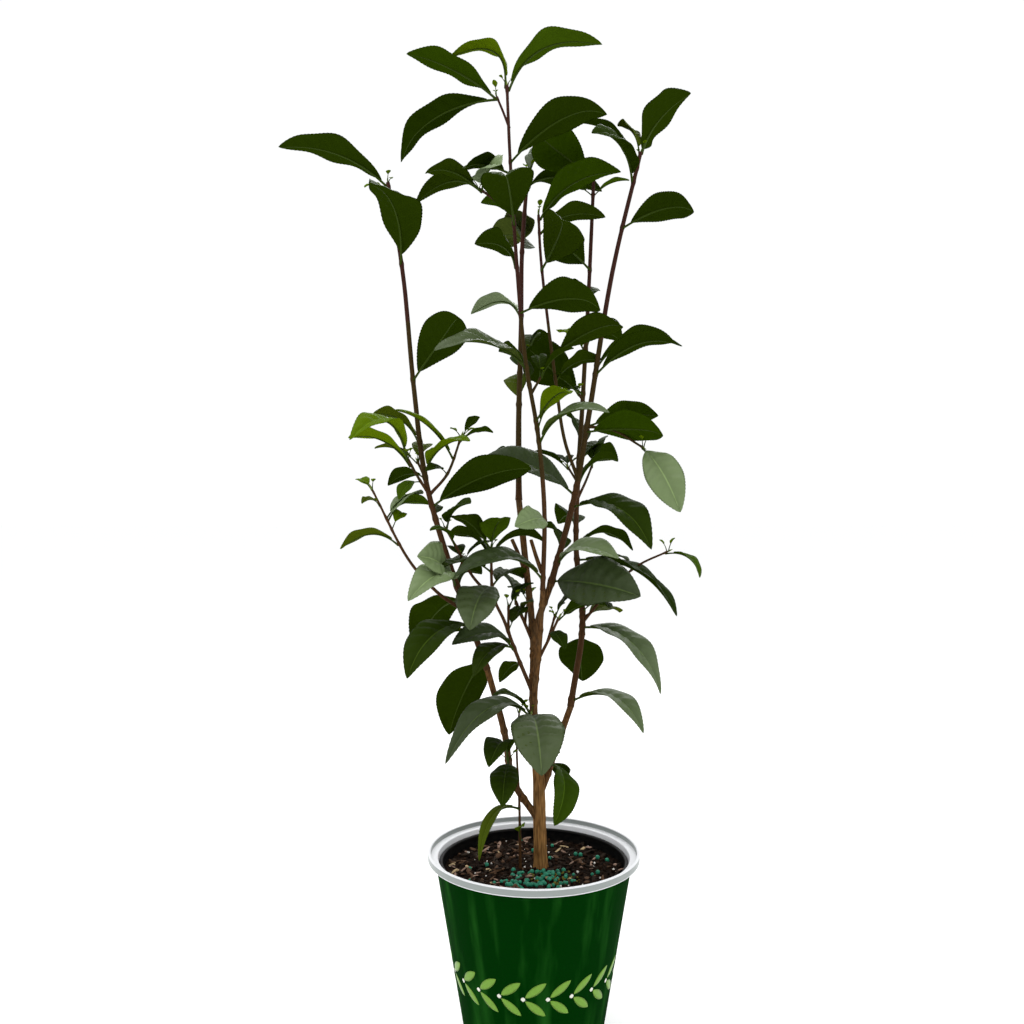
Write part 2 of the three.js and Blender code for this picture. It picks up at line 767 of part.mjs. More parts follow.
// The soil plug with its grit, each piece sunk a little so that it holds
function soilWithGrit() {
  const random = seeded(5);
  const between = ([low, high]) => THREE.MathUtils.lerp(low, high, random());
  let soil = soilPlug();
  const limit = soilInner(SOIL_TOP) - GRIT_MARGIN;
  const scatter = (shape, x, y, rise) => {
    shape.rotateZ(random() * Math.PI);
    shape.translate(x, y, soilHeight(x, y) + rise);
    soil = soil.add(toSolid(shape));
  };
  const spot = (inner, outer) => {
    const radius = Math.sqrt(inner ** 2 + random() * (outer ** 2 - inner ** 2));
    const angle = random() * 2 * Math.PI;
    return [Math.cos(angle) * radius, Math.sin(angle) * radius];
  };
  for (let chip = 0; chip < BARK_CHIPS; chip += 1) {
    const [x, y] = spot(SOIL_PAD_RADIUS, limit);
    const shape = new THREE.BoxGeometry(between(CHIP_LENGTHS), between(CHIP_WIDTHS), CHIP_THICK);
    shape.rotateX(between([-CHIP_TILT, CHIP_TILT]));
    scatter(shape, x, y, -CHIP_SINK);
  }
  for (let grain = 0; grain < PERLITE_GRAINS; grain += 1) {
    const [x, y] = spot(SOIL_PAD_RADIUS, limit);
    scatter(new THREE.OctahedronGeometry(between(PERLITE_RADII)), x, y, 0);
  }
  for (let prill = 0; prill < FEED_PRILLS; prill += 1) {
    const x = PRILL_PATCH.x + PRILL_PATCH.halfWidth * (random() + random() - 1);
    const y = PRILL_PATCH.y + PRILL_PATCH.halfDepth * (2 * random() - 1);
    scatter(new THREE.OctahedronGeometry(PRILL_RADIUS), x, y, PRILL_RISE);
  }
  return soil;
}

// The wood of a stem and its twigs
function growWood(name, shoot, sides, kept) {
  const wood = stem(shoot.route, shoot.radii, sides);
  kept.push(wood);
  claim(name, wood);
  for (const twig of shoot.twigs ?? []) {
    growWood(name, twig, TWIG_SIDES, kept);
  }
}

// The leaves of a stem and its twigs, taken only where they clear every other node
function growLeaves(name, shoot, kept) {
  const line = lineOf(shoot.route);
  const length = line.getLength();
  for (const row of shoot.leaves) {
    const root = line.getPointAt(Math.min(row[0] / length, LAST_LEAF));
    const leaf = leafSolid(root, row);
    if (!touchesOthers(leaf, name, MASSES[name].parent)) {
      kept.push(leaf);
      claim(name, leaf);
    }
  }
  for (const twig of shoot.twigs ?? []) {
    growLeaves(name, twig, kept);
  }
}

// Small seeded sprigs on the lower stem: a short twig with two leaves at its tip. One that
// would leave the mass's reach or touch another node is passed over.
function growSprigs(name, mass, kept) {
  const random = seeded(mass.seed);
  const between = ([low, high]) => THREE.MathUtils.lerp(low, high, random());
  const line = lineOf(mass.route);
  for (let sprig = 0; sprig < mass.sprigs; sprig += 1) {
    const place = sprig + between([SPRIG_FIRST, 1]);
    const root = line.getPointAt(SPRIG_ZONE * place / mass.sprigs);
    const turn = between(SPRIG_TURNS);
    const reach = between(SPRIG_TWIG_LENGTHS);
    const tip = root.clone().add(new THREE.Vector3(
      Math.cos(radians(turn)) * Math.cos(radians(SPRIG_RISE)) * reach,
      Math.sin(radians(turn)) * Math.cos(radians(SPRIG_RISE)) * reach,
      Math.sin(radians(SPRIG_RISE)) * reach,
    ));
    const twig = stem([root.toArray(), tip.toArray()], SPRIG_RADII, TWIG_SIDES);
    if (touchesOthers(twig, name, mass.parent)) {
      continue;
    }
    kept.push(twig);
    claim(name, twig);
    for (const side of [-1, 1]) {
      const length = between(SPRIG_LEAF_LENGTHS);
      const rise = between(SPRIG_LEAF_RISES);
      const leafTurn = turn + side * SPRIG_LEAF_SPREAD;
      const row = [0, leafTurn, length, rise, SPRIG_LEAF_BOW, 0, SPRIG_LEAF_WIDTH];
      const leaf = leafSolid(tip.clone().lerp(root, SPRIG_LEAF_SET_BACK), row);
      if (reach + length < SPRIG_REACH && !touchesOthers(leaf, name, mass.parent)) {
        kept.push(leaf);
        claim(name, leaf);
      }
    }
  }
}

addNode("outer_pot", outerPot(), COLOURS.pot, 0.35);
addNode("printed_sleeve", printedSleeve(), COLOURS.print, 0.2);
addNode("nursery_liner", nurseryLiner(), COLOURS.liner, 0.45);
const soil = soilWithGrit();
addNode("soil", soil, COLOURS.soil, 0.95);
claim("soil", soil);

// Each limb gives way, by the clearance, to those before it
const limbs = { trunk: trunkSolid() };
const swollen = { trunk: trunkSolid(CLEAR) };
for (const [name, bough] of Object.entries(BOUGHS)) {
  const whole = stem(bough.route, bough.radii, LIMB_SIDES);
  limbs[name] = largest(Object.values(swollen).reduce((left, other) => left.subtract(other), whole));
  swollen[name] = stem(bough.route, bough.radii, LIMB_SIDES, CLEAR);
}
for (const [name, solid] of Object.entries(limbs)) {
  addNode(name, solid, name === "trunk" ? COLOURS.bark : COLOURS.bough, 0.85);
  claim(name, solid);
}

// All wood goes in first, then the leaves of the tables, then the seeded sprigs
const grown = {};
for (const [name, mass] of Object.entries(MASSES)) {
  grown[name] = [];
  growWood(name, mass, STEM_SIDES, grown[name]);
}
for (const [name, mass] of Object.entries(MASSES)) {
  growLeaves(name, mass, grown[name]);
}
for (const [name, mass] of Object.entries(MASSES)) {
  growSprigs(name, mass, grown[name]);
}
for (const name of Object.keys(MASSES)) {
  const whole = grown[name].reduce((a, b) => a.add(b));
  const cut = Object.values(swollen).reduce((left, limb) => left.subtract(limb), whole);
  addNode(name, largest(cut).simplify(SLIVER), COLOURS.leaf, 0.5);
}

export default group;
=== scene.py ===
import math

import bpy
import numpy as np
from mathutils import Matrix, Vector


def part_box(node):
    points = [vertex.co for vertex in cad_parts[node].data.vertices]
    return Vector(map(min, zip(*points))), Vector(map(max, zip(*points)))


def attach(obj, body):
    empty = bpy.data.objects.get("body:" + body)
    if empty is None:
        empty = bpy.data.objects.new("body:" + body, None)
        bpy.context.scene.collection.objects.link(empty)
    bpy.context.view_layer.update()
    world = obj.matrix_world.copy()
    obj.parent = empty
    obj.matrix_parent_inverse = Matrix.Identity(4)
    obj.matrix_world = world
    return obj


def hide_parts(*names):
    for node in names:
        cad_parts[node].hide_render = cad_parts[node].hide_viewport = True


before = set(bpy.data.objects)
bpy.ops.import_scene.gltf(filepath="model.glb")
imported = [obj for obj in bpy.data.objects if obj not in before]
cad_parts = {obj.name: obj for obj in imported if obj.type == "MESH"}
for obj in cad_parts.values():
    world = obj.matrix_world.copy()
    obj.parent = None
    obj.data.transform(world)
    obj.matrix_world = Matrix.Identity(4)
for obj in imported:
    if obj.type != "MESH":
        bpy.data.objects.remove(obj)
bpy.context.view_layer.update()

# The camera stands level with the middle of the crown, about 0.8 m from the pot, and looks
# square at its front. The picture is square, and this lens gives the photograph's frame.
CAMERA_PLACE = (-0.0179, -0.7973, 0.4444)
CAMERA_LENS = 33.75
camera = bpy.data.objects.new("camera", bpy.data.cameras.new("camera"))
camera.data.lens = CAMERA_LENS
camera.data.sensor_width = 36.0
camera.location = CAMERA_PLACE
camera.rotation_euler = (math.radians(90), 0, 0)
bpy.context.scene.collection.objects.link(camera)
bpy.context.scene.camera = camera
bpy.context.scene.view_settings.view_transform = "Standard"


def linear(red, green, blue):
    """Linear colour from screen values of 0 to 255: the screen curve undone on each channel."""
    shares = [value / 255 for value in (red, green, blue)]
    return tuple(s / 12.92 if s < 0.04045 else ((s + 0.055) / 1.055) ** 2.4 for s in shares)


# Soft studio light: an even pale surround, a large panel overhead and to the left, and two
# more that keep the right and the back from going dull.
SURROUND = linear(254, 255, 255)
world = bpy.data.worlds.new("surround")
world.use_nodes = True
world.node_tree.nodes["Background"].inputs["Color"].default_value = (*SURROUND, 1)
world.node_tree.nodes["Background"].inputs["Strength"].default_value = 1.02
bpy.context.scene.world = world


def light_panel(name, place, target, size, watts):
    """A square light panel at place that faces target, with its size in metres."""
    panel = bpy.data.objects.new(name, bpy.data.lights.new(name, "AREA"))
    panel.data.size = size
    panel.data.energy = watts
    panel.location = place
    facing = np.array(target, float) - np.array(place, float)
    yaw = math.atan2(facing[1], facing[0]) - math.pi / 2
    pitch = math.atan2(facing[2], math.hypot(facing[0], facing[1])) + math.pi / 2
    panel.rotation_euler = (pitch, 0, yaw)
    bpy.context.scene.collection.objects.link(panel)


MIDDLE = (0, 0, 0.45)
light_panel("overhead_panel", (-0.5, -0.3, 1.9), MIDDLE, size=1.2, watts=12)
light_panel("side_panel", (1.5, -0.9, 1.0), MIDDLE, size=1.0, watts=3)
light_panel("back_panel", (0.2, 1.3, 1.7), MIDDLE, size=0.9, watts=14)


# The floor is plain, matt and white, a wide level sheet under the pot. It is as bright as
# the surround, so that no line shows where the two meet.
FLOOR_HALF = 30000.0


class Signal:
    """A socket whose value varies over a surface. + and * on it add Math nodes."""

    def __init__(self, finish, socket):
        self.finish = finish
        self.socket = socket

    def maths(self, operation, other):
        return self.finish.node("ShaderNodeMath", {"operation": operation}, {0: self, 1: other})

    def __add__(self, other):
        return self.maths("ADD", other)

    __radd__ = __add__

    def __mul__(self, other):
        return self.maths("MULTIPLY", other)

    __rmul__ = __mul__


class Finish:
    """A Principled material. Constants go straight on its sockets, and signals are linked."""

    def __init__(self, name, **constants):
        self.material = bpy.data.materials.new(name)
        self.material.use_nodes = True
        self.tree = self.material.node_tree
        self.shader = self.tree.nodes["Principled BSDF"]
        for key, value in constants.items():
            self.set(key.replace("_", " ").title().replace("Ior", "IOR"), value)

    def feed(self, socket, value):
        if isinstance(value, Signal):
            self.tree.links.new(value.socket, socket)
        elif socket.type == "RGBA" and len(value) == 3:
            socket.default_value = (*value, 1)
        else:
            socket.default_value = value

    def set(self, name, value):
        self.feed(self.shader.inputs[name], value)

    def node(self, kind, settings, sockets, output=0):
        """A node of a kind, its settings made first and then its sockets' values or links."""
        made = self.tree.nodes.new(kind)
        for key, value in settings.items():
            if key == "stops":
                for element, (place, grey) in zip(made.color_ramp.elements, value):
                    element.position = place
                    element.color = (grey, grey, grey, 1)
            else:
                setattr(made, key, value)
        for key, value in sockets.items():
            self.feed(made.inputs[key], value)
        return Signal(self, made.outputs[output])

    def place(self, stretch):
        """Object coordinates, stretched along each axis."""
        found = self.node("ShaderNodeTexCoord", {}, {}, "Object")
        return self.node("ShaderNodeMapping", {}, {"Vector": found, "Scale": stretch})

    def noise(self, scale, detail, stretch=(1, 1, 1)):
        """Cloudy noise from 0 to 1, with so many cells in a metre."""
        sockets = {"Vector": self.place(stretch), "Scale": scale, "Detail": detail}
        return self.node("ShaderNodeTexNoise", {}, sockets)

    def ramp(self, signal, low, high):
        """0 below low and 1 above high, with an even slope between."""
        return self.node("ShaderNodeValToRGB", {"stops": [(low, 0), (high, 1)]}, {0: signal})

    def mix(self, share, first, second):
        """The first colour where share is 0 and the second where it is 1."""
        return self.node("ShaderNodeMix", {"data_type": "RGBA"}, {0: share, 6: first, 7: second}, 2)

    def bump(self, height, distance, strength):
        """A normal tilted by a height, where a height of 1 is so many metres."""
        return self.node("ShaderNodeBump", {}, {
            "Height": height, "Distance": distance, "Strength": strength})


def make_piece(name, shape, finishes, faces_finish=None):
    """A smooth-shaded object from vertices in millimetres, quads and triangles. faces_finish
    gives each face's place in finishes, quads first."""
    points, quads, triangles = shape
    mesh = bpy.data.meshes.new(name)
    corners = np.concatenate([quads.ravel(), triangles.ravel()]).astype(np.int32)
    starts = np.concatenate([
        np.arange(len(quads)) * 4,
        len(quads) * 4 + np.arange(len(triangles)) * 3,
    ]).astype(np.int32)
    mesh.vertices.add(len(points))
    mesh.vertices.foreach_set("co", (points * 0.001).astype(np.float32).ravel())
    mesh.loops.add(len(corners))
    mesh.loops.foreach_set("vertex_index", corners)
    mesh.polygons.add(len(starts))
    mesh.polygons.foreach_set("loop_start", starts)
    if faces_finish is not None:
        mesh.polygons.foreach_set("material_index", faces_finish.astype(np.int32))
    mesh.update(calc_edges=True)
    mesh.shade_smooth()
    made = bpy.data.objects.new(name, mesh)
    for finish in finishes:
        mesh.materials.append(finish.material)
    bpy.context.scene.collection.objects.link(made)
    return made


floor_corners = np.array([[-1, -1, 0], [1, -1, 0], [1, 1, 0], [-1, 1, 0]]) * FLOOR_HALF
floor_shape = (floor_corners, np.array([[0, 1, 2, 3]]), np.zeros((0, 3), int))
floor_finish = Finish("pale_floor", base_color=linear(254, 254, 254), roughness=1.0)
floor = make_piece("floor", floor_shape, [floor_finish])

# The outer pot is a thin tub of whitish translucent plastic, injection moulded, with a
# stepped lip that stands out past the printed face and a ring of drain holes in its floor.
POT_SIDES = 192
LIP_THICK = 2.4
LEDGE_DROP = 4.5
POT_WALL = 1.8
POT_FLOOR = 2.2
GAP = 0.3
SLEEVE_THICK = 0.6
FOOT_ROUND = 1.8
SHOULDER_ROUND = 1
LIP_OUTER_ROUND = 0.8
LIP_INNER_ROUND = 0.7
CORNER_ROUND = 0.5
EDGE_ROUND = 1.2
INSIDE_ROUND = 1.5
FLOOR_MIDDLE_RADIUS = 7.2
pot_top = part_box("outer_pot")[1].z * 1000
lip_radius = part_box("outer_pot")[1].x * 1000
shoulder = pot_top - 6
sleeve_low, sleeve_high = (corner * 1000 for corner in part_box("printed_sleeve"))
FOOT_RADIUS = 54.5
SHOULDER_RADIUS = 81.5
wall_slope = (SHOULDER_RADIUS - FOOT_RADIUS) / shoulder


def skin(rings, poles=None):
    """Vertices, quads and triangles of closed skins over rings of points.

    rings is (pieces, stations, sides, 3), each ring anticlockwise as seen from the last one.
    Quads join each ring to the next. With poles, (pieces, 2, 3), triangles close both ends.
    Without them the last ring joins the first.
    """
    pieces, stations, sides, _ = rings.shape
    column = np.arange(sides)
    after = (column + 1) % sides
    low = np.arange(stations if poles is None else stations - 1)[:, None] * sides
    high = (low + sides) % (stations * sides)
    quads = np.stack([low + column, low + after, high + after, high + column], -1).reshape(-1, 4)
    points = rings.reshape(pieces, -1, 3)
    triangles = np.zeros((0, 3), int)
    if poles is not None:
        points = np.concatenate([points, poles], 1)
        start = np.full(sides, stations * sides)
        top = (stations - 1) * sides
        triangles = np.concatenate([
            np.stack([start, after, column], -1),
            np.stack([start + 1, top + column, top + after], -1),
        ])
    shift = np.arange(pieces)[:, None, None] * points.shape[1]
    quads = (quads + shift).reshape(-1, 4)
    triangles = (triangles + shift).reshape(-1, 3)
    return points.reshape(-1, 3), quads, triangles


def lathe(profile, sides):
    """Rings for skin from a profile of (radius, height): each point is turned about +Z, so x
    is radius times the cosine and y radius times the sine of an even step of angle."""
    radius, height = np.array(profile, float).T[:, :, None]
    angle = np.arange(sides) / sides * 2 * np.pi
    rings = np.stack([
        radius * np.cos(angle), radius * np.sin(angle), np.broadcast_to(height, (len(radius), sides)),
    ], -1)
    return rings[None]


def face_radius(height):
    """Radius of the printed face: a straight cone from the foot to the shoulder."""
    return FOOT_RADIUS + wall_slope * height


def pot_outside(height):
    return face_radius(height) - SLEEVE_THICK - GAP


def pot_inside(height):
    return pot_outside(height) - POT_WALL


def round_bend(centre, radius, start, stop, steps=6):
    """Points of (radius, height) on an arc about centre, angles in degrees."""
    angle = np.radians(np.linspace(start, stop, steps))
    return [(centre[0] + radius * math.cos(a), centre[1] + radius * math.sin(a)) for a in angle]


ledge = pot_top - LEDGE_DROP
lip_inside = lip_radius - LIP_THICK
pot_profile = [
    (FLOOR_MIDDLE_RADIUS, 0),
    (pot_outside(0) - 2.2, 0),
    *round_bend((pot_outside(2) - 2, FOOT_ROUND), FOOT_ROUND, -80, -10),
    *[(pot_outside(h), h) for h in np.linspace(4, shoulder - 2, 40)],
    (pot_outside(shoulder) + 0.3, shoulder - 0.4),
    *round_bend((lip_radius - SHOULDER_ROUND, shoulder + 0.6), SHOULDER_ROUND, -90, 0),
    *round_bend((lip_radius - LIP_OUTER_ROUND, pot_top - LIP_OUTER_ROUND), LIP_OUTER_ROUND, 0, 90),
    *round_bend((lip_inside + LIP_INNER_ROUND, pot_top - LIP_INNER_ROUND), LIP_INNER_ROUND, 90, 180),
    (lip_inside, ledge + 0.6),
    *round_bend((lip_inside - CORNER_ROUND, ledge + CORNER_ROUND), CORNER_ROUND, 0, -90, 4),
    *round_bend((pot_inside(ledge) + EDGE_ROUND, ledge - EDGE_ROUND), EDGE_ROUND, 90, 175),
    *[(pot_inside(h), h) for h in np.linspace(ledge - 3, POT_FLOOR + 2, 12)],
    *round_bend((pot_inside(POT_FLOOR) - INSIDE_ROUND, POT_FLOOR + INSIDE_ROUND), INSIDE_ROUND, 0, -90, 5),
    (FLOOR_MIDDLE_RADIUS, POT_FLOOR),
]
pot_poles = np.array([[[0, 0, 0], [0, 0, POT_FLOOR]]], float)
pot_finish = Finish("pot_plastic", base_color=linear(221, 222, 225), roughness=0.32, ior=1.49)
pot_finish.set("Normal", pot_finish.bump(pot_finish.noise(260, 3), 0.00015, 0.4))

# The lip's upright walls are painted grey, painted shade for the dim look the plastic takes as light
# passes through them. Its edges and the ledge stay white.
LIP_WALL_DROP = 3
LIP_WALL_REACH = 2.3
# Painted shade: the lip walls get a grey copy of the tub's white plastic.
lip_shade_finish = Finish("pot_lip_painted_shade", base_color=linear(138, 144, 142), roughness=0.3, ior=1.49)
row_radius, row_height = (np.array(pot_profile)[1:] + np.array(pot_profile)[:-1]).T / 2
off_lip_middle = np.abs(row_height - pot_top + LIP_WALL_DROP)
on_shaded_lip_wall = (row_radius > lip_inside - 0.1) & (off_lip_middle < LIP_WALL_REACH)
pot_faces = np.concatenate([np.repeat(on_shaded_lip_wall, POT_SIDES), np.zeros(2 * POT_SIDES)])
pot_shape = skin(lathe(pot_profile, POT_SIDES), pot_poles)
pot = make_piece("moulded_pot", pot_shape, [pot_finish, lip_shade_finish], pot_faces)

# Eight round holes are cut through the floor, on a ring.
DRAIN_HOLES = 8
DRAIN_CIRCLE = 36
DRAIN_RADIUS = 4
DRAIN_SIDES = 24
DRILL_OVERSHOOT = 3
drill_ends = (-DRILL_OVERSHOOT, POT_FLOOR + DRILL_OVERSHOOT)
drain_angle = np.arange(DRAIN_HOLES) / DRAIN_HOLES * 2 * np.pi
drain_middle = np.stack([np.cos(drain_angle), np.sin(drain_angle), 0 * drain_angle], -1) * DRAIN_CIRCLE
drain_rings = lathe([(DRAIN_RADIUS, height) for height in drill_ends], DRAIN_SIDES)
drain_poles = np.array([[[0, 0, height] for height in drill_ends]], float)
drain_shape = skin(drain_rings + drain_middle[:, None, None], drain_poles + drain_middle[:, None])
drills = make_piece("drills", drain_shape, [pot_finish])
cut = pot.modifiers.new("drain_holes", "BOOLEAN")
cut.object = drills
cut.operation = "DIFFERENCE"
cut.solver = "EXACT"
bpy.context.view_layer.update()
drilled = bpy.data.meshes.new_from_object(pot.evaluated_get(bpy.context.evaluated_depsgraph_get()))
pot.modifiers.clear()
pot.data = drilled
bpy.data.objects.remove(drills)
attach(pot, "root")
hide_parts("outer_pot")

# The printed face is a thin glossy film moulded round the tub, deep green all round. Its soft
# lighter streaks from top to bottom are painted highlights, standing in for reflections on the film.
SLEEVE_GREEN = linear(0, 41, 2)
SLEEVE_PAINTED_HIGHLIGHT = linear(34, 92, 28)
sleeve_profile = [
    *[(face_radius(h), h) for h in np.linspace(sleeve_low.z, sleeve_high.z, 48)],
    *[(face_radius(h) - SLEEVE_THICK, h) for h in np.linspace(sleeve_high.z, sleeve_low.z, 8)],
]
sleeve_finish = Finish("printed_green_painted_highlights", specular_ior_level=0, coat_weight=0.02)
# Painted highlights: noise drawn out along the height lightens the green in long streaks that stand in for
# reflections on the film, whose own specular is off.
painted_highlight_streaks = sleeve_finish.ramp(sleeve_finish.noise(60, 3, (1, 1, 0.04)), 0.5, 0.85)
sleeve_finish.set("Base Color", sleeve_finish.mix(painted_highlight_streaks * 0.8, SLEEVE_GREEN, SLEEVE_PAINTED_HIGHLIGHT))
sleeve_finish.set("Roughness", 0.2 + 0.14 * sleeve_finish.noise(90, 2, (1, 1, 0.2)))
sleeve_finish.set("Normal", sleeve_finish.bump(sleeve_finish.noise(50, 2, (1, 1, 0.1)), 0.0004, 0.3))
sleeve = make_piece("printed_face", skin(lathe(sleeve_profile, POT_SIDES)), [sleeve_finish])
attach(sleeve, "root")
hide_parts("printed_sleeve")

# A plain running border of paired leaves and dots is printed round the lower part of the
# green face, in pale green and white.
BORDER_HEIGHT = 73
BORDER_PAIRS = 22
PRINT_LIFT = 0.08
BORDER_LEAF = (20.0, 3.4)
BORDER_LEAF_LEAN = 38
BORDER_LEAF_OFFSET = 7.5
BORDER_DOT = 1.8
PRINT_HALF_THICK = 0.04


def printed_patches(middles, turns, length, half_width, lift):
    """Thin lens-shaped or round patches on the cone. In the unrolled face a patch point is
    its middle plus s times half the length along its turn plus w across, with w shrinking as
    (1 - s^2)^0.8. It is wrapped back at its height's radius."""
    s = np.linspace(-0.98, 0.98, 11)[:, None]
    across = np.array([-1, -0.4, 0.4, 1, 0.4, -0.4])
    depth = np.array([0, 1, 1, 0, -1, -1]) * PRINT_HALF_THICK
    wide = (1 - s ** 2) ** 0.8 * half_width
    turn = np.radians(turns)[:, None, None]
    along = s * length / 2
    round_way = middles[:, 0, None, None] + along * np.cos(turn) - across * wide * np.sin(turn)
    height = middles[:, 1, None, None] + along * np.sin(turn) + across * wide * np.cos(turn)
    radius = face_radius(height) + lift + depth
    angle = round_way / face_radius(BORDER_HEIGHT)
    rings = np.stack([radius * np.sin(angle), -radius * np.cos(angle), height], -1)
    ends = rings[:, [0, -1]].mean(2)
    return skin(rings, ends)


border_step = 2 * math.pi * face_radius(BORDER_HEIGHT) / BORDER_PAIRS
border_way = np.arange(BORDER_PAIRS) * border_step
leaf_middles = np.concatenate([
    np.stack([border_way, np.full(BORDER_PAIRS, BORDER_HEIGHT + BORDER_LEAF_OFFSET)], -1),
    np.stack([border_way, np.full(BORDER_PAIRS, BORDER_HEIGHT - BORDER_LEAF_OFFSET)], -1),
])
leaf_turns = np.repeat([BORDER_LEAF_LEAN, -BORDER_LEAF_LEAN], BORDER_PAIRS)
dot_middles = np.stack([border_way + border_step / 2, np.full(BORDER_PAIRS, BORDER_HEIGHT)], -1)
print_gloss = {"roughness": 0.3, "specular_ior_level": 0.1}
leaf_print = Finish("printed_leaf", base_color=linear(112, 152, 58), **print_gloss)
dot_print = Finish("printed_white", base_color=linear(226, 226, 214), **print_gloss)
leaf_patches = printed_patches(leaf_middles, leaf_turns, *BORDER_LEAF, PRINT_LIFT)
dot_patches = printed_patches(
    dot_middles, np.zeros(BORDER_PAIRS), 2 * BORDER_DOT, BORDER_DOT, PRINT_LIFT)
for print_name, patches, print_finish in (
    ("printed_border_leaves", leaf_patches, leaf_print),
    ("printed_border_dots", dot_patches, dot_print),
):
    printed = make_piece(print_name, patches, [print_finish])
    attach(printed, "root")
    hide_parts("printed_sleeve")

# The grower's thin black pot stands inside the tub. Its rim, with a rolled bead, shows just
# below the lip.
LINER_WALL = 1.1
LINER_BEAD = 1.4
LINER_FOOT_ROUND = 2
LINER_FLOOR_MIDDLE = 4
liner_low, liner_top = (corner.z * 1000 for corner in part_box("nursery_liner"))


def liner_outside(height):
    return pot_inside(height) - GAP


bead_height = liner_top - LINER_BEAD
foot_middle = (liner_outside(liner_low) - LINER_FOOT_ROUND, liner_low + LINER_FOOT_ROUND)
liner_rise = np.linspace(liner_low + 4, liner_top - 2 * LINER_BEAD, 24)
liner_fall = np.linspace(liner_top - 2.2 * LINER_BEAD, liner_low + 4, 12)
liner_profile = [
    (LINER_FLOOR_MIDDLE, liner_low),
    *round_bend(foot_middle, LINER_FOOT_ROUND, -90, 0, 5),
    *[(liner_outside(h), h) for h in liner_rise],
    *round_bend((liner_outside(bead_height) - LINER_BEAD, bead_height), LINER_BEAD, -10, 200, 12),
    *[(liner_outside(h) - LINER_WALL, h) for h in liner_fall],
    (LINER_FLOOR_MIDDLE, liner_low + LINER_WALL),
]
liner_finish = Finish("liner_plastic", specular_ior_level=0.15)
liner_dust = liner_finish.ramp(liner_finish.noise(320, 4), 0.45, 0.8)
liner_finish.set("Base Color", liner_finish.mix(liner_dust * 0.4, linear(12, 12, 12), linear(48, 42, 36)))
liner_finish.set("Roughness", 0.5 + 0.3 * liner_dust)
liner_poles = np.array([[[0, 0, liner_low], [0, 0, liner_low + LINER_WALL]]])
liner = make_piece("black_liner", skin(lathe(liner_profile, POT_SIDES), liner_poles), [liner_finish])
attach(liner, "root")
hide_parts("nursery_liner")

# The potting soil is dark, damp peat with lumps, level with a line just under the liner's
# rim. It stops a little short of the liner's wall.
SOIL_TOP = 148
SOIL_PAD = (22, 35.2)
SOIL_PAD_RISE = 1.5
SOIL_LUMP = 0.8
SOIL_SIDES = 220
SOIL_TOP_SET_IN = 0.3
SOIL_WALL_SET_IN = 0.2
CRUMB_WIDTHS = (5, 2.2, 1.1)
CRUMB_RISES = (0.9, 0.6, 0.5)
CRUMB_SINK = 0.6
soil_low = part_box("soil")[0].z * 1000
soil_edge = liner_outside(SOIL_TOP) - LINER_WALL - GAP - SOIL_TOP_SET_IN


def value_noise(x, y, seed):
    """Smooth random heights from -1 to 1: seeded numbers on a grid of unit cells, blended
    between each cell's corners by smoothstep shares. The grid repeats."""
    cells = 64
    table = np.random.default_rng(seed).uniform(-1, 1, (cells, cells))
    column, row = np.floor(x).astype(int), np.floor(y).astype(int)
    right, up = x - column, y - row
    right, up = right ** 2 * (3 - 2 * right), up ** 2 * (3 - 2 * up)
    pick = lambda i, j: table[(column + i) % cells, (row + j) % cells]
    lower = pick(0, 0) * (1 - right) + pick(1, 0) * right
    upper = pick(0, 1) * (1 - right) + pick(1, 1) * right
    return lower * (1 - up) + upper * up


def soil_height(x, y):
    """The source's lumps, two products of sines of x and y, faded out on a level pad round
    the trunk: the pad's rise falls and the lumps grow by a smoothstep of the distance from
    the middle."""
    lump = np.sin(0.21 * x + 1) * np.sin(0.17 * y + 2) + 0.5 * np.sin(0.43 * x) * np.cos(0.39 * y)
    away = np.clip((np.hypot(x, y) - SOIL_PAD[0]) / (SOIL_PAD[1] - SOIL_PAD[0]), 0, 1)
    away = away ** 2 * (3 - 2 * away)
    return SOIL_TOP + SOIL_PAD_RISE * (1 - away) + SOIL_LUMP * lump * away


def crumbly(x, y):
    """Soil height with crumbs: two sizes of value noise added, and the absolute value of a
    third, the smallest, taken off, which leaves fine ridges."""
    large, middling, small = (
        value_noise(x / width, y / width, seed) for seed, width in enumerate(CRUMB_WIDTHS, 1))
    rough = CRUMB_RISES[0] * large + CRUMB_RISES[1] * middling
    return soil_height(x, y) - CRUMB_SINK + rough - CRUMB_RISES[2] * np.abs(small)


soil_steps = np.linspace(1, 0.012, 120)
soil_angle = np.arange(SOIL_SIDES) / SOIL_SIDES * 2 * np.pi
soil_x = soil_edge * soil_steps[:, None] * np.cos(soil_angle)
soil_y = soil_edge * soil_steps[:, None] * np.sin(soil_angle)
soil_upper = np.stack([soil_x, soil_y, crumbly(soil_x, soil_y)], -1)
wall_height = np.linspace(soil_low + 2, SOIL_TOP - 4, 12)
wall_radius = liner_outside(wall_height) - LINER_WALL - GAP - SOIL_WALL_SET_IN
soil_lower = lathe(list(zip(wall_radius, wall_height)), SOIL_SIDES)[0]
soil_rings = np.concatenate([soil_lower, soil_upper])[None]
soil_poles = np.array([[[0, 0, soil_low + 2], [0, 0, crumbly(np.zeros(1), np.zeros(1))[0]]]])
soil_finish = Finish("potting_soil", roughness=0.95, specular_ior_level=0.05)
soil_tone = soil_finish.noise(420, 6)
soil_finish.set("Base Color", soil_finish.mix(
    soil_finish.ramp(soil_tone, 0.35, 0.75), linear(8, 5, 3), linear(46, 33, 24)))
soil_finish.set("Normal", soil_finish.bump(soil_finish.noise(1400, 5), 0.0012, 0.9))
soil_piece = make_piece("potting_soil", skin(soil_rings, soil_poles), [soil_finish])
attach(soil_piece, "root")
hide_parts("soil")


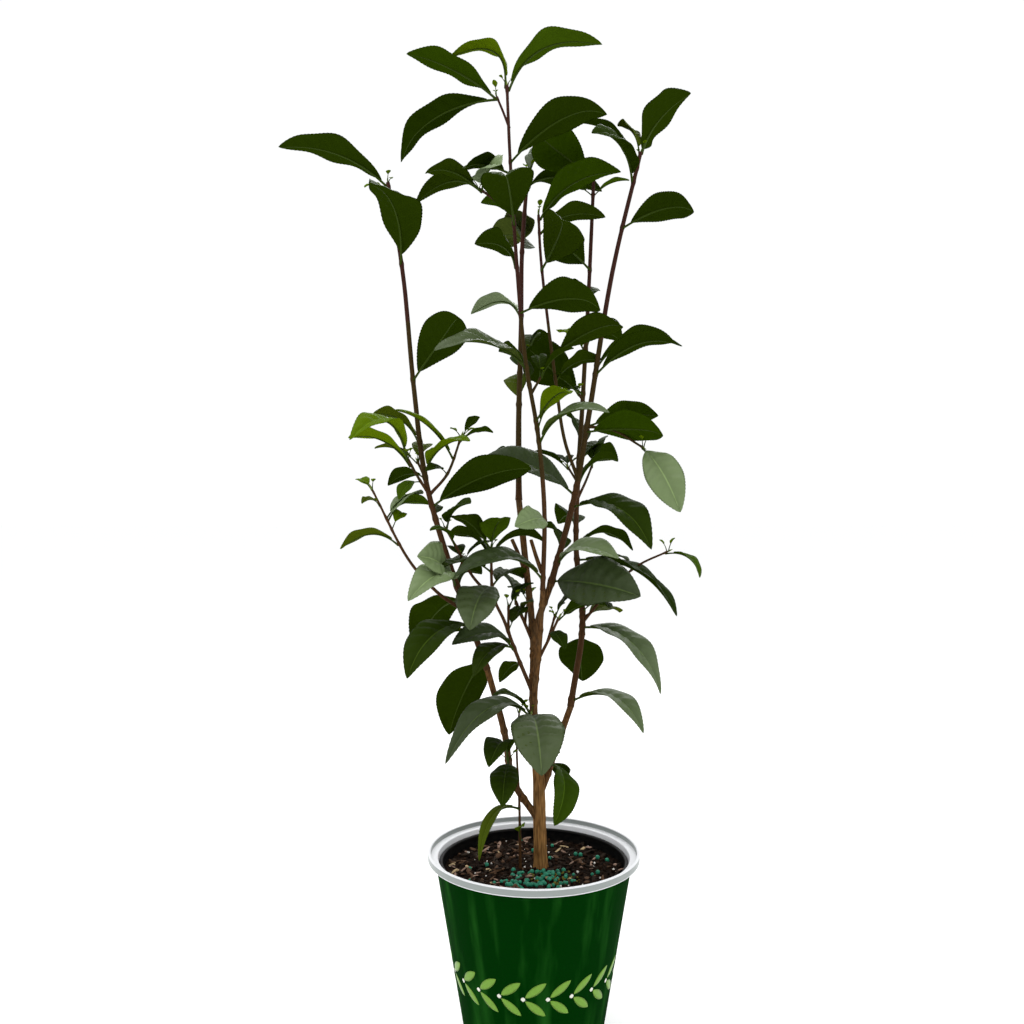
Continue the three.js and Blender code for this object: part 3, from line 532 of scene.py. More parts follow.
# Loose bits lie on the soil: crumbs of peat, shredded bark and white perlite, and in front of
# the trunk flecks of dry moss and, thickest there, round teal prills of plant feed.
def turn_about(points, yaw, pitch, roll):
    """Points turned about X by roll, then Y by pitch, then Z by yaw, one set per piece."""
    for angle, (a, b) in ((roll, (1, 2)), (pitch, (2, 0)), (yaw, (0, 1))):
        cosine, sine = np.cos(angle)[:, None, None], np.sin(angle)[:, None, None]
        first, second = points[..., a].copy(), points[..., b].copy()
        points[..., a] = first * cosine - second * sine
        points[..., b] = first * sine + second * cosine
    return points


def lumps(random, middles, sizes, tilt, stations, sides, ragged):
    """Small closed lumps: the rings of a ball, stretched to half sizes along three axes,
    each point moved in or out by a seeded share, then turned and set down."""
    count = len(middles)
    polar = (np.arange(stations) + 1) / (stations + 1) * np.pi
    angle = np.arange(sides) / sides * 2 * np.pi
    ball = np.stack([
        np.broadcast_to(-np.cos(polar)[:, None], (stations, sides)),
        np.sin(polar)[:, None] * np.cos(angle),
        np.sin(polar)[:, None] * np.sin(angle),
    ], -1)
    rings = ball * random.uniform(1 - ragged, 1 + ragged, (count, stations, sides, 1))
    rings = rings * sizes[:, None, None]
    ends = np.array([[-1, 0, 0], [1, 0, 0]]) * sizes[:, None]
    yaw = random.uniform(0, 2 * np.pi, count)
    pitch, roll = random.uniform(-tilt, tilt, (2, count))
    rings = turn_about(rings, yaw, pitch, roll) + middles[:, None, None]
    ends = turn_about(ends[:, None], yaw, pitch, roll)[:, 0] + middles[:, None]
    return skin(rings, ends)


def scattered(random, count, outer, inner=0.0):
    """Places of (x, y), evenly spread over a ring of soil."""
    radius = np.sqrt(random.uniform((inner / outer) ** 2, 1, count)) * outer
    angle = random.uniform(0, 2 * np.pi, count)
    return radius * np.cos(angle), radius * np.sin(angle)


def resting(x, y, rise):
    """Middles of bits on the crumbly soil, lifted by rise."""
    return np.stack([x, y, crumbly(x, y) + rise], -1)


ANY_TILT = 1.5
BIT_SET_IN = 3
grit = np.random.default_rng(31)
bit_reach = soil_edge - BIT_SET_IN

CRUMBS = 900
crumb_x, crumb_y = scattered(grit, CRUMBS, bit_reach)
crumb_sizes = grit.uniform(0.5, 1.9, (CRUMBS, 1)) * grit.uniform(0.7, 1.2, (CRUMBS, 3))
crumbs = lumps(
    grit, resting(crumb_x, crumb_y, 0.3), crumb_sizes, ANY_TILT, stations=4, sides=7, ragged=0.28)
crumb_finish = Finish("peat_crumbs", roughness=0.95, specular_ior_level=0.05)
crumb_finish.set("Base Color", crumb_finish.mix(
    crumb_finish.ramp(crumb_finish.noise(180, 3), 0.35, 0.75), linear(9, 6, 4), linear(58, 40, 29)))

BARK_TONES = {
    "dark": (linear(44, 34, 25), 190),
    "brown": (linear(92, 68, 50), 90),
    "pink": (linear(156, 128, 112), 44),
    "tan": (linear(186, 162, 124), 16),
}
BARK_TILT = 0.45
BARK_FROM_TRUNK = 9
BARK_SENT_LEFT = 0.45
bark_shapes = {}
for tone, (_, tone_count) in BARK_TONES.items():
    bark_x, bark_y = scattered(grit, tone_count, bit_reach, BARK_FROM_TRUNK)
    bark_x = np.where(grit.random(tone_count) < BARK_SENT_LEFT, -np.abs(bark_x), bark_x)
    bark_sizes = np.stack([
        grit.uniform(1.6, 5.8, tone_count), grit.uniform(0.8, 2.2, tone_count),
        grit.uniform(0.4, 1.0, tone_count),
    ], -1)
    bark_shapes[tone] = lumps(
        grit, resting(bark_x, bark_y, 0.9), bark_sizes, BARK_TILT, stations=5, sides=8, ragged=0.2)

PERLITE_GRAINS = 70
perlite_x, perlite_y = scattered(grit, PERLITE_GRAINS, bit_reach)
perlite_sizes = grit.uniform(0.3, 1.1, (PERLITE_GRAINS, 1)) * np.ones(3)
perlite = lumps(
    grit, resting(perlite_x, perlite_y, 0.6), perlite_sizes, ANY_TILT, stations=5, sides=8, ragged=0.2)
perlite_finish = Finish("perlite", base_color=linear(226, 222, 214), roughness=0.8)

PRILL_RADIUS = 1.75
HEAPED_PRILLS = 84
STRAY_PRILLS = 22
HEAP_MIDDLE = 4
HEAP_HALF = 35
HEAP_FRONT = -40
HEAP_DEPTH = 30
HEAP_BEND = 0.004
heap_way = grit.random(HEAPED_PRILLS) + grit.random(HEAPED_PRILLS) - 1
heap_x = HEAP_MIDDLE + HEAP_HALF * heap_way
heap_y = HEAP_FRONT + HEAP_DEPTH * grit.random(HEAPED_PRILLS) ** 1.5 + HEAP_BEND * heap_x ** 2
stray_x, stray_y = scattered(grit, STRAY_PRILLS, bit_reach)
prill_x, prill_y = np.concatenate([heap_x, stray_x]), np.concatenate([heap_y, stray_y])
prill_sizes = grit.uniform(0.8, 1.12, (len(prill_x), 1)) * PRILL_RADIUS * np.ones(3)
prills = lumps(
    grit, resting(prill_x, prill_y, 1.5), prill_sizes, ANY_TILT, stations=7, sides=12, ragged=0.02)
prill_finish = Finish("feed_prills", roughness=0.45, specular_ior_level=0.2)
prill_finish.set("Base Color", prill_finish.mix(
    prill_finish.noise(160, 2), linear(10, 86, 66), linear(48, 146, 114)))

FLECKS = 90
FLECK_MIDDLE = (16, -22)
FLECK_HALF = (22, 14)
fleck_x, fleck_y = (
    middle + half * (grit.random(FLECKS) + grit.random(FLECKS) - 1)
    for middle, half in zip(FLECK_MIDDLE, FLECK_HALF))
fleck_sizes = grit.uniform(0.4, 1.2, (FLECKS, 1)) * grit.uniform(0.6, 1.4, (FLECKS, 3))
flecks = lumps(
    grit, resting(fleck_x, fleck_y, 0.8), fleck_sizes, ANY_TILT, stations=4, sides=6, ragged=0.3)
fleck_finish = Finish(
    "moss_flecks", base_color=linear(106, 98, 44), roughness=0.95, specular_ior_level=0.05)

bits = [("peat_crumbs", crumbs, crumb_finish), ("perlite_grains", perlite, perlite_finish),
        ("feed_prills", prills, prill_finish), ("moss_flecks", flecks, fleck_finish)]
for tone, shape in bark_shapes.items():
    tone_finish = Finish(f"bark_chip_{tone}", roughness=0.85, specular_ior_level=0.1)
    chip_grain = tone_finish.noise(900, 3, (1, 1, 0.4))
    chip_dark = tuple(0.55 * channel for channel in BARK_TONES[tone][0])
    tone_finish.set("Base Color", tone_finish.mix(chip_grain, chip_dark, BARK_TONES[tone][0]))
    bits.append((f"bark_chips_{tone}", shape, tone_finish))
for bit_name, bit_shape, bit_finish in bits:
    bit = make_piece(bit_name, bit_shape, [bit_finish])
    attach(bit, "root")
    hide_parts("soil")


# The trunk is one woody stem as thick as a finger, with tan bark in lengthwise furrows. It
# leans a little to the left and spreads into root ridges where it meets the soil.
def smooth_line(route, count):
    """Points at even distances on the centripetal Catmull-Rom curve through a route, and its
    length: over each span a cubic whose end slopes weigh the neighbours by the roots of
    their distances."""
    points = np.array(route, float)
    before = 2 * points[0] - points[1]
    beyond = 2 * points[-1] - points[-2]
    points = np.vstack([before, points, beyond])
    t = np.linspace(0, 1, 60, endpoint=False)[:, None]
    dense = []
    for p0, p1, p2, p3 in zip(points, points[1:], points[2:], points[3:]):
        d0, d1, d2 = (math.sqrt(np.linalg.norm(b - a)) for a, b in ((p0, p1), (p1, p2), (p2, p3)))
        leave = d1 * ((p1 - p0) / d0 - (p2 - p0) / (d0 + d1) + (p2 - p1) / d1)
        arrive = d1 * ((p2 - p1) / d1 - (p3 - p1) / (d1 + d2) + (p3 - p2) / d2)
        square = 3 * (p2 - p1) - 2 * leave - arrive
        cube = 2 * (p1 - p2) + leave + arrive
        dense.append(p1 + leave * t + square * t ** 2 + cube * t ** 3)
    dense.append(points[-2:-1])
    dense = np.vstack(dense)
    walked = np.concatenate([[0], np.cumsum(np.linalg.norm(np.diff(dense, axis=0), axis=1))])
    wanted = np.linspace(0, walked[-1], count)
    return np.stack([np.interp(wanted, walked, dense[:, k]) for k in range(3)], -1), walked[-1]


def frames_along(line):
    """Two unit vectors square to the line at each point: the first is a vector close to +X
    made square to the tangent, the second their cross product."""
    near_x = np.array([1.0, 0.02, 0])
    tangent = np.gradient(line, axis=0)
    tangent /= np.linalg.norm(tangent, axis=1, keepdims=True)
    first = near_x - tangent * (tangent @ near_x)[:, None]
    first /= np.linalg.norm(first, axis=1, keepdims=True)
    return first, np.cross(tangent, first)


FURROW_LENGTH = 22


def furrows(angle, distance, seed, rounds):
    """Bark relief from -1 to 1: noise drawn out along the stem, 0.65 of it coarse and 0.35
    fine. The angle is folded to a circle in the noise's plane so that no seam shows."""
    ring_x, ring_y = np.cos(angle) * rounds / 2, np.sin(angle) * rounds / 2
    drift = distance / FURROW_LENGTH
    coarse = value_noise(ring_x + drift, ring_y + 0.7 * drift, seed)
    fine = value_noise(2.7 * ring_x + 2 * drift, 2.7 * ring_y - drift, seed + 1)
    return 0.65 * coarse + 0.35 * fine


TRUNK_ROUTE = [(6, 0, 149.8), (5, 0, 189), (4, 0, 225), (0, 0, 278)]
TRUNK_RADII = (5.6, 4.4)
TRUNK_FLARE = 0.7
TRUNK_FLARE_HEIGHT = 9
ROOT_RIDGES = 4
ROOT_RIDGE_SHARE = 0.5
TRUNK_RELIEF = 0.4
TRUNK_DOME_STATIONS = 12
TRUNK_STATIONS = 300
TRUNK_SIDES = 96
trunk_line, trunk_length = smooth_line(TRUNK_ROUTE, TRUNK_STATIONS)
trunk_walked = np.linspace(0, trunk_length, TRUNK_STATIONS)[:, None]
trunk_angle = np.arange(TRUNK_SIDES) / TRUNK_SIDES * 2 * np.pi
foot_spread = TRUNK_FLARE * np.exp(-(trunk_line[:, 2:] - TRUNK_ROUTE[0][2]) / TRUNK_FLARE_HEIGHT * 2)
trunk_radius = TRUNK_RADII[0] + (TRUNK_RADII[1] - TRUNK_RADII[0]) * trunk_walked / trunk_length
trunk_radius = trunk_radius + foot_spread * (1 + ROOT_RIDGE_SHARE * np.cos(trunk_angle * ROOT_RIDGES))
trunk_radius = trunk_radius + TRUNK_RELIEF * furrows(trunk_angle, trunk_walked, seed=40, rounds=9)
dome_way = np.linspace(0, 0.85, TRUNK_DOME_STATIONS)
trunk_radius[-TRUNK_DOME_STATIONS:] *= np.sqrt(1 - dome_way ** 2)[:, None]
trunk_rings = np.stack([
    trunk_line[:, :1] + np.cos(trunk_angle) * trunk_radius,
    trunk_line[:, 1:2] + np.sin(trunk_angle) * trunk_radius,
    np.broadcast_to(trunk_line[:, 2:], trunk_radius.shape),
], -1)[None]
trunk_poles = np.stack([trunk_line[0], trunk_line[-1]])[None]
trunk_finish = Finish("trunk_bark", roughness=0.82, specular_ior_level=0.05)
trunk_grain = trunk_finish.noise(700, 5, (1, 1, 0.12))
trunk_patch = trunk_finish.ramp(trunk_finish.noise(150, 4, (1, 1, 0.4)), 0.35, 0.72)
trunk_tone = trunk_finish.mix(
    trunk_finish.ramp(trunk_grain, 0.3, 0.7), linear(72, 46, 20), linear(166, 122, 72))
trunk_finish.set("Base Color", trunk_finish.mix(trunk_patch * 0.35, trunk_tone, linear(104, 82, 52)))
trunk_finish.set("Normal", trunk_finish.bump(trunk_grain, 0.0006, 0.7))
trunk_piece = make_piece("bark_trunk", skin(trunk_rings, trunk_poles), [trunk_finish])
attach(trunk_piece, "root")
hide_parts("trunk")


# Five boughs fork from the trunk, each a single tapering limb as thick as a pencil. Their
# bark is thinner and browner than the trunk's, with faint rings where leaves have dropped.
KNOT_SWELL = 0.22
KNOT_REACH = 2
COLLAR_REACH = 4
LIMB_TIP = 0.4


def limb_skin(route, radii, sides, relief, seed, knots=(), spacing=0.7, collar=0.0):
    """A tapering limb: rings round a smooth line whose radius runs evenly between two
    values. It swells by a share of exp(-(d / reach)^2) at a distance d from each knot and by
    a collar that dies away from the root as exp(-d / reach), and it carries furrows. Each
    end is closed by a point that stands out by a share of its radius."""
    length = smooth_line(route, 2)[1]
    stations = max(6, int(length / spacing))
    line, _ = smooth_line(route, stations)
    first, second = frames_along(line)
    walked = np.linspace(0, length, stations)[:, None]
    angle = np.arange(sides) / sides * 2 * np.pi
    radius = radii[0] + (radii[1] - radii[0]) * walked / length
    for knot in knots:
        radius = radius * (1 + KNOT_SWELL * np.exp(-((walked - knot) / KNOT_REACH) ** 2))
    radius = radius * (1 + collar * np.exp(-walked / COLLAR_REACH))
    radius = radius + relief * furrows(angle, walked, seed, rounds=7)
    rings = line[:, None] + radius[..., None] * (
        np.cos(angle)[:, None] * first[:, None] + np.sin(angle)[:, None] * second[:, None])
    start, finish = line[1] - line[0], line[-1] - line[-2]
    ends = np.stack([
        line[0] - start / np.linalg.norm(start) * radii[0] * LIMB_TIP,
        line[-1] + finish / np.linalg.norm(finish) * radii[1] * LIMB_TIP,
    ])
    return skin(rings[None], ends[None])


BOUGHS = {
    "left_bough": ([(4, 0, 189), (-17, -5, 223), (-24, -9, 263), (-38, -14, 316)], (2.9, 2.5)),
    "leader_bough": ([(0.8, -2, 266), (0.5, -5.5, 292), (4, -10, 331), (7, -18, 381)], (2.9, 2)),
    "back_bough": (
        [(0, 2.2, 266), (-0.5, 7, 292), (0, 14, 336), (-6, 26, 399), (-12, 34, 455)], (3, 2.7)),
    "right_bough": ([(0, 12, 328), (4, 12.5, 352), (15, 13, 384)], (2.8, 2.7)),
    "far_bough": ([(3.5, 0, 206), (12, 5, 226), (17, 9, 240), (32, 20, 279)], (2.9, 2.7)),
}
BOUGH_KNOTS = (22, 41, 58, 83, 104)
bough_finish = Finish("bough_bark", roughness=0.8, specular_ior_level=0.05)
bough_grain = bough_finish.noise(900, 5, (1, 1, 0.2))
bough_patch = bough_finish.ramp(bough_finish.noise(120, 4, (1, 1, 0.5)), 0.4, 0.7)
bough_tone = bough_finish.mix(
    bough_finish.ramp(bough_grain, 0.3, 0.7), linear(46, 30, 16), linear(112, 78, 44))
bough_finish.set("Base Color", bough_finish.mix(bough_patch * 0.4, bough_tone, linear(92, 76, 54)))
bough_finish.set("Normal", bough_finish.bump(bough_grain, 0.0004, 0.6))
for bough_number, (bough_name, (bough_route, bough_radii)) in enumerate(BOUGHS.items()):
    bough_shape = limb_skin(
        bough_route, bough_radii, sides=48, relief=0.22, seed=50 + 2 * bough_number,
        knots=BOUGH_KNOTS, collar=0.25)
    bough = make_piece(bough_name.replace("bough", "limb"), bough_shape, [bough_finish])
    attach(bough, "root")
    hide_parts(bough_name)

# Two short stubs are left of side limbs that were pruned. They have nearly flat tops and
# the boughs' bark.
STUBS = {
    "back_bough": ([(-5, 24, 388), (-11, 25.5, 405), (-17.9, 26, 420.8)], (1.9, 1.6)),
    "leader_bough": ([(6.5, -18, 395), (1.5, -18.5, 409), (-2.5, -19, 421.7)], (1.8, 1.5)),
}
for bough_name, (stub_route, stub_radii) in STUBS.items():
    stub_shape = limb_skin(stub_route, stub_radii, sides=24, relief=0.15, seed=70)
    stub = make_piece(bough_name.replace("bough", "stub"), stub_shape, [bough_finish])
    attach(stub, "root")
    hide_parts(bough_name)


# The foliage is eleven masses, each on the limb that bears it, and a sucker from the soil,
# all living shoots. A shoot is (route, radii, leaves). A leaf is its distance up the shoot,
# turn from +X, length, rise, bow, roll, share of width and tint, named by its first letter.
MASSES = {
    "left_foliage": {"seed": 11, "sprigs": 2, "shoots": [
        ([(-38, -14, 316), (-65, -20, 392), (-87, -20, 467),
          (-98, -13, 545), (-108, -6, 642), (-121, 0, 718)], (2.5, 1.6), [
            (9, 130, 84, -55, 0.12, 20, 0.5, "D"), (35, 200, 52, -20, 0.14, 0, 0.5, "O"),
            (39, 235, 84, -20, 0.16, -10, 0.4, "D"), (62, 130, 82, -35, 0.16, 20, 0.46, "D"),
            (74, 240, 66, -5, 0.26, -20, 0.42, "P"), (71, 70, 52, 10, 0.16, -30, 0.44, "D"),
            (82, 245, 56, 20, 0.06, -60, 0.58, "P"), (141, 345, 88, 20, 0.14, -45, 0.4, "D"),
            (130, 105, 30, 25, 0.16, 30, 0.42, "D"), (170, 315, 58, 25, 0.12, 25, 0.44, "Y"),
            (165, 140, 44, -5, 0.16, 20, 0.4, "D"), (194, 150, 54, 30, 0.14, 30, 0.4, "O"),
            (246, 305, 82, 30, 0.14, -25, 0.44, "D"), (343, 260, 86, 30, 0.16, -15, 0.52, "D"),
            (410, 180, 97, 20, 0.12, 22, 0.36, "D"), (404, 225, 26, 0, 0.16, 10, 0.34, "Y"),
        ]),
        ([(-58, -18, 365), (-78, -26, 380), (-100, -32, 406), (-129, -34, 462)], (1.5, 0.8), [
            (76, 160, 54, -5, 0.22, 20, 0.36, "O"), (100, 45, 46, 15, 0.16, -30, 0.42, "M"),
            (97, 50, 46, 30, 0.12, 0, 0.46, "P"), (110, 245, 26, 5, 0.16, -20, 0.42, "O"),
            (122, 130, 26, 25, 0.16, -20, 0.42, "Y"), (89, 75, 28, 30, 0.16, 20, 0.42, "Y"),
        ]),
        ([(-84, -20, 457), (-93, -28, 472), (-101, -32, 487)], (1.3, 0.9), [
            (35, 230, 62, 15, 0.36, -10, 0.46, "Y"), (30, 160, 62, 25, 0.14, 20, 0.42, "Y"),
            (16, 235, 30, -30, 0.16, -20, 0.42, "M"),
        ]),
        ([(-84, -20, 459), (-70, -24, 475), (-59, -22, 505)], (1.3, 0.9), [
            (22, 235, 26, 5, 0.16, -20, 0.42, "D"), (36, 215, 64, 35, 0.1, -30, 0.3, "Y"),
            (50, 35, 34, 15, 0.14, -20, 0.36, "L"), (52, 310, 30, 35, 0.14, -20, 0.3, "D"),
        ]),
    ]},
    "leader_foliage": {"seed": 12, "sprigs": 1, "shoots": [
        ([(7, -18, 381), (8, -28, 445), (3, -34, 504),
          (-8, -36, 571), (-19, -30, 719), (-22, -26, 787)], (2, 1.2), [
            (405, 10, 90, 30, 0.22, -18, 0.36, "M"), (407, 160, 60, 35, 0.36, 16, 0.36, "Y"),
            (346, 320, 95, 10, 0.18, -20, 0.34, "D"), (295, 265, 82, 10, 0.12, 10, 0.5, "D"),
            (297, 135, 44, 35, 0.16, 30, 0.42, "L"), (337, 235, 62, -12, 0.1, 20, 0.36, "D"),
            (260, 130, 62, 30, 0.16, 40, 0.46, "D"), (224, 315, 84, -5, 0.12, -38, 0.4, "D"),
            (180, 220, 88, 5, 0.14, -32, 0.36, "H"), (166, 120, 60, 35, 0.16, 30, 0.44, "D"),
            (131, 320, 42, 45, 0.14, -10, 0.3, "Y"), (137, 300, 54, 20, 0.16, -20, 0.36, "Y"),
            (121, 310, 78, 15, 0.14, 30, 0.28, "S"), (57, 240, 48, -5, 0.14, -50, 0.46, "P"),
            (10, 215, 84, 5, 0.2, -25, 0.34, "G"),
        ]),
        ([(-20, -28, 752), (-25, -28, 765), (-30, -28, 777)], (1, 0.9), [
            (26, 170, 86, 30, 0.08, 20, 0.32, "L"), (26, 195, 98, -35, 0.15, 25, 0.3, "D"),
        ]),
        ([(-16, -32, 679), (-31, -34, 692), (-44, -36, 701)], (1.1, 0.9), [
            (34, 225, 58, 0, 0.14, 20, 0.32, "D"), (34, 290, 48, 5, 0.12, 40, 0.6, "P"),
            (32, 155, 62, 0, 0.26, 25, 0.36, "D"),
        ]),
    ]},
    "back_foliage": {"seed": 13, "sprigs": 1, "shoots": [
        ([(-12, 34, 455), (-12, 42, 525), (-10, 47, 604), (-9, 48, 675), (-4, 46, 743)], (2.7, 1.6), [
            (277, 25, 76, 5, 0.2, -30, 0.34, "D"), (285, 65, 62, 45, 0.1, -10, 0.36, "G"),
            (163, 135, 66, 10, 0.22, 20, 0.36, "P"), (219, 115, 74, 25, 0.18, 40, 0.52, "G"),
            (252, 105, 70, -10, 0.18, 30, 0.42, "G"), (112, 65, 80, 25, 0.18, -30, 0.44, "D"),
            (84, 80, 76, 25, 0.18, -20, 0.44, "O"), (29, 110, 70, 0, 0.18, 30, 0.44, "D"),
        ]),
    ]},
    "right_foliage": {"seed": 14, "sprigs": 1, "shoots": [
        ([(15, 13, 384), (34, 8, 455), (46, 6, 523), (66, 4, 645), (89, 0, 743)], (2.7, 1.6), [
            (3, 315, 92, -4, 0.04, 58, 0.5, "G"), (18, 310, 72, 5, 0.18, 30, 0.38, "P"),
            (23, 100, 54, 30, 0.14, 40, 0.44, "D"), (68, 315, 88, -20, 0.18, 15, 0.38, "D"),
            (85, 45, 60, 25, 0.16, -30, 0.36, "D"), (78, 183, 84, 22, 0.12, -40, 0.4, "G"),
            (132, 315, 80, -4, 0.06, -48, 0.42, "L"), (136, 345, 60, 8, 0.1, -50, 0.46, "L"),
            (188, 25, 80, 20, 0.16, -25, 0.4, "D"), (180, 320, 84, 10, 0.18, -22, 0.3, "D"),
            (304, 315, 72, 0, 0.14, -40, 0.38, "D"), (354, 150, 80, 40, 0.16, 10, 0.34, "D"),
            (342, 235, 68, 20, 0.14, -40, 0.5, "D"), (368, 125, 44, 50, 0.16, 10, 0.44, "O"),
            (368, 30, 82, 50, 0.1, -60, 0.48, "D"),
        ]),
        ([(44, 6, 516), (65, -6, 512), (89, -14, 497)], (1.3, 0.9), [
            (53, 305, 68, -50, 0.14, 40, 0.44, "P"),
        ]),
        ([(37, 7, 473), (26, 3, 504), (18, -2, 555), (6, -4, 653), (4, -4, 690)], (1.5, 1.1), [
            (217, 20, 88, 35, 0.14, -35, 0.48, "L"), (206, 25, 66, 20, 0.16, -30, 0.34, "D"),
            (175, 280, 78, 15, 0.14, -40, 0.5, "D"), (104, 310, 80, 10, 0.16, -30, 0.36, "D"),
            (84, 20, 46, 25, 0.16, -30, 0.44, "D"),
        ]),
    ]},
    "far_foliage": {"seed": 15, "sprigs": 1, "shoots": [
        ([(32, 20, 279), (43, 32, 349), (38, 40, 417),
          (45, 50, 552), (49, 50, 623), (54, 44, 742)], (2.7, 1.5), [
            (6, 315, 78, -10, 0.2, 0, 0.3, "S"), (62, 85, 62, -50, 0.06, 0, 0.66, "D"),
            (69, 320, 92, -30, 0.2, 15, 0.3, "S"), (82, 300, 40, 10, 0.14, -20, 0.6, "D"),
            (77, 45, 52, 0, 0.14, 20, 0.42, "O"), (127, 325, 105, -25, 0.16, -10, 0.3, "D"),
            (139, 30, 62, -5, 0.24, -20, 0.38, "D"), (152, 100, 70, 5, 0.16, 20, 0.42, "D"),
            (217, 100, 64, 40, 0.14, 40, 0.4, "D"), (212, 55, 70, 5, 0.16, -20, 0.36, "D"),
            (273, 225, 78, 25, 0.12, 45, 0.5, "D"), (313, 60, 80, 15, 0.16, -20, 0.42, "D"),
            (356, 100, 70, 15, 0.16, 20, 0.42, "D"), (382, 240, 62, 5, 0.14, 40, 0.54, "D"),
            (462, 230, 80, 10, 0.1, 45, 0.5, "L"), (447, 190, 34, 20, 0.1, 20, 0.5, "L"),
            (447, 350, 34, 20, 0.14, 0, 0.35, "M"), (310, 120, 50, 30, 0.14, 0, 0.5, "Y"),
        ]),
        ([(43, 32, 349), (63, 26, 374), (88, 20, 398), (114, 16, 411)], (1.4, 0.8), [
            (95, 310, 42, -25, 0.18, -10, 0.34, "M"), (63, 120, 26, 25, 0.16, 10, 0.34, "D"),
        ]),
        ([(39, 43, 455), (47, 50, 471), (53, 56, 485)], (1.3, 0.9), [
            (35, 75, 60, 25, 0.16, -10, 0.4, "D"),
        ]),
    ]},
    "fork_foliage": {"seed": 16, "sprigs": 0, "shoots": [
        ([(0, 0, 270), (-1.5, -6, 274), (-2, -12, 279)], (1.9, 1.5), [
            (13, 220, 90, -14, 0.32, -18, 0.28, "G"), (13, 275, 78, -22, 0.18, 0, 0.54, "H"),
            (13, 215, 44, 30, 0.16, -10, 0.3, "D"),
        ]),
    ]},
    "low_left_foliage": {"seed": 17, "sprigs": 0, "shoots": [
        ([(-19, -6, 232), (-21, -14, 242)], (1.6, 1.3), [
            (11, 255, 58, 10, 0.3, 0, 0.42, "D"), (11, 265, 56, -20, 0.1, 0, 0.42, "D"),
        ]),
    ]},
    "low_right_foliage": {"seed": 18, "sprigs": 0, "shoots": [
        ([(13, 5.5, 229), (16, -1, 238)], (1.6, 1.3), [
            (9, 270, 62, -35, 0.24, -40, 0.42, "L"), (9, 75, 44, -35, 0.1, 0, 0.42, "D"),
        ]),
    ]},
    "inner_left_foliage": {"seed": 19, "sprigs": 1, "shoots": [
        ([(0.5, -4, 292), (-15, -10, 330),
          (-24, -14, 355), (-33, -16, 376), (-35, -16, 415)], (1.8, 1), [
            (46, 235, 56, -15, 0.16, -10, 0.36, "D"), (44, 222, 66, 8, 0.2, -22, 0.38, "G"),
            (100, 255, 66, -25, 0.12, -10, 0.52, "H"), (122, 135, 56, 20, 0.16, 30, 0.38, "D"),
            (129, 230, 54, 30, 0.18, 20, 0.38, "D"), (130, 285, 46, 35, 0.1, 0, 0.55, "M"),
            (127, 40, 58, 10, 0.16, -30, 0.38, "D"), (31, 120, 40, -30, 0.16, 20, 0.36, "D"),
            (112, 220, 50, 5, 0.14, 0, 0.5, "D"), (100, 60, 52, 5, 0.14, 0, 0.5, "D"),
            (60, 60, 34, 30, 0.14, 0, 0.5, "D"),
        ]),
        ([(-32, -16, 373), (-49, -26, 392), (-61, -32, 414), (-71, -34, 432)], (1.4, 0.9), [
            (73, 300, 48, 25, 0.12, 30, 0.46, "D"), (57, 235, 34, 25, 0.16, -20, 0.4, "L"),
        ]),
    ]},
    "inner_back_foliage": {"seed": 20, "sprigs": 1, "shoots": [
        ([(0, 14, 334), (-9, 12, 355), (-15, 10, 370)], (1.6, 1.1), [
            (36, 110, 56, 25, 0.12, 40, 0.44, "D"), (25, 295, 26, 35, 0.14, 10, 0.4, "G"),
        ]),
    ]},
    "inner_right_foliage": {"seed": 21, "sprigs": 1, "shoots": [
        ([(3.2, -8.5, 322), (12, -12, 340), (20, -16, 358)], (1.5, 1), [
            (39, 25, 40, 22, 0.1, -50, 0.6, "D"), (28, 285, 34, -15, 0.14, 10, 0.4, "D"),
        ]),
    ]},
    "sucker": {"seed": 22, "sprigs": 0, "shoots": [
        ([(-11, -4, 149.8), (-12, -8, 208), (-14, -10, 253), (-12, -10, 280)], (1.2, 0.8), [
            (52, 235, 62, -25, 0.3, 0, 0.17, "O"), (26, 280, 22, 45, 0.14, 20, 0.44, "Y"),
        ]),
    ]},
}
SPRIG_ZONE = 0.6
SPRIG_FIRST = 0.3
SPRIG_TURNS = (20, 160)
SPRIG_RISE = 53
SPRIG_RADII = (1.2, 0.9)
SPRIG_TWIG_LENGTHS = (16, 26)
SPRIG_LEAF_SPREAD = 50
SPRIG_LEAF_SET_BACK = 0.1
SPRIG_LEAF_LENGTHS = (26, 42)
SPRIG_LEAF_RISES = (10, 50)
SPRIG_LEAF_BOW = 0.14
SPRIG_LEAF_WIDTH = 0.42
SPRIG_REACH = 62
SPRIG_TINTS = "DOY"
LINE_POINTS = 400


def source_numbers(seed):
    """The source's seeded numbers from 0 to 1: a linear congruence modulo 2 to the 32."""
    state = seed * 2654435761 % 4294967296
    while True:
        state = (state * 1664525 + 1013904223) % 4294967296
        yield state / 4294967296


def heading(turn, rise):
    """The unit vector at a turn from +X and a rise above level, in degrees."""
    turn, rise = math.radians(turn), math.radians(rise)
    return np.array([math.cos(turn) * math.cos(rise), math.sin(turn) * math.cos(rise), math.sin(rise)])


